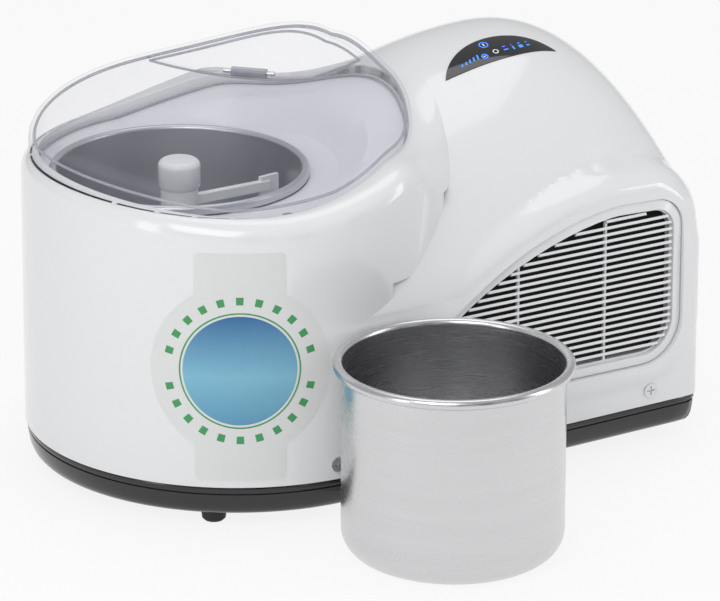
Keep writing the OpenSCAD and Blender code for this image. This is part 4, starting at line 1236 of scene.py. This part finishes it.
class MakeHousing(bpy.types.Operator):
    """Housing with its drum, hood and deck, and the tray under it"""
    bl_idname = "icecream.housing"
    bl_label = "Housing and tray"

    def execute(self, context):
        housing([remember(gloss_white), remember(deck_white)])
        piece = tray(remember(tray_black))
        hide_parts("base_tray")
        return {"FINISHED"}


class MakeGrilles(bpy.types.Operator):
    """Louvred grilles on both flanks"""
    bl_idname = "icecream.grilles"
    bl_label = "Grilles"

    def execute(self, context):
        for side in (-1, 1):
            grille(side, remember(gloss_white), remember(painted_shade_backing))
        return {"FINISHED"}


class MakeControls(bpy.types.Operator):
    """Half-moon control window with plain marks"""
    bl_idname = "icecream.controls"
    bl_label = "Control window"

    def execute(self, context):
        control_window(remember(window_black), remember(light_blue), remember(light_white))
        return {"FINISHED"}


class MakeLabel(bpy.types.Operator):
    """Plain label on the drum"""
    bl_idname = "icecream.label"
    bl_label = "Label"

    def execute(self, context):
        label(remember(label_film), remember(label_disc), remember(label_green))
        return {"FINISHED"}


class MakeLid(bpy.types.Operator):
    """Clear lid and its filling flap"""
    bl_idname = "icecream.lid"
    bl_label = "Lid"

    def execute(self, context):
        lid(remember(clear_plastic), remember(clear_edge))
        flap(remember(clear_plastic), remember(clear_edge))
        return {"FINISHED"}


class MakeBowls(bpy.types.Operator):
    """Churning bowl, its knob and the loose steel bowl"""
    bl_idname = "icecream.bowls"
    bl_label = "Bowls"

    def execute(self, context):
        fixed_bowl(remember(bowl_metal))
        loose_bowl(remember(steel_round))
        knob(remember(food_white))
        return {"FINISHED"}


class FinishInside(bpy.types.Operator):
    """Finishes for the pieces that keep their construction shape"""
    bl_idname = "icecream.inside"
    bl_label = "Inner pieces"

    def execute(self, context):
        for node, maker in INSIDE.items():
            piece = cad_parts[node]
            piece.data.materials.clear()
            piece.data.materials.append(remember(maker))
        return {"FINISHED"}


class IcecreamPanel(bpy.types.Panel):
    """Lists the steps in the sidebar"""
    bl_idname = "VIEW3D_PT_icecream"
    bl_label = "Ice cream maker"
    bl_space_type = "VIEW_3D"
    bl_region_type = "UI"
    bl_category = "Ice cream maker"

    def draw(self, context):
        look = context.scene.icecream_look
        for key in ("key_power", "fill_power", "sky", "body_colour"):
            self.layout.prop(look, key)
        for step in STEPS:
            self.layout.operator(step.bl_idname)


STEPS = (MakeStage, MakeHousing, MakeGrilles, MakeControls, MakeLabel, MakeLid, MakeBowls, FinishInside)
CLASSES = (LookSettings, *STEPS, IcecreamPanel)


def register():
    for c in CLASSES:
        bpy.utils.register_class(c)
    bpy.types.Scene.icecream_look = bpy.props.PointerProperty(type=LookSettings)


def unregister():
    del bpy.types.Scene.icecream_look
    for c in reversed(CLASSES):
        bpy.utils.unregister_class(c)


def main():
    register()
    for step in STEPS:
        group, name = step.bl_idname.split(".")
        getattr(getattr(bpy.ops, group), name)()


if __name__ == "__main__":
    main()
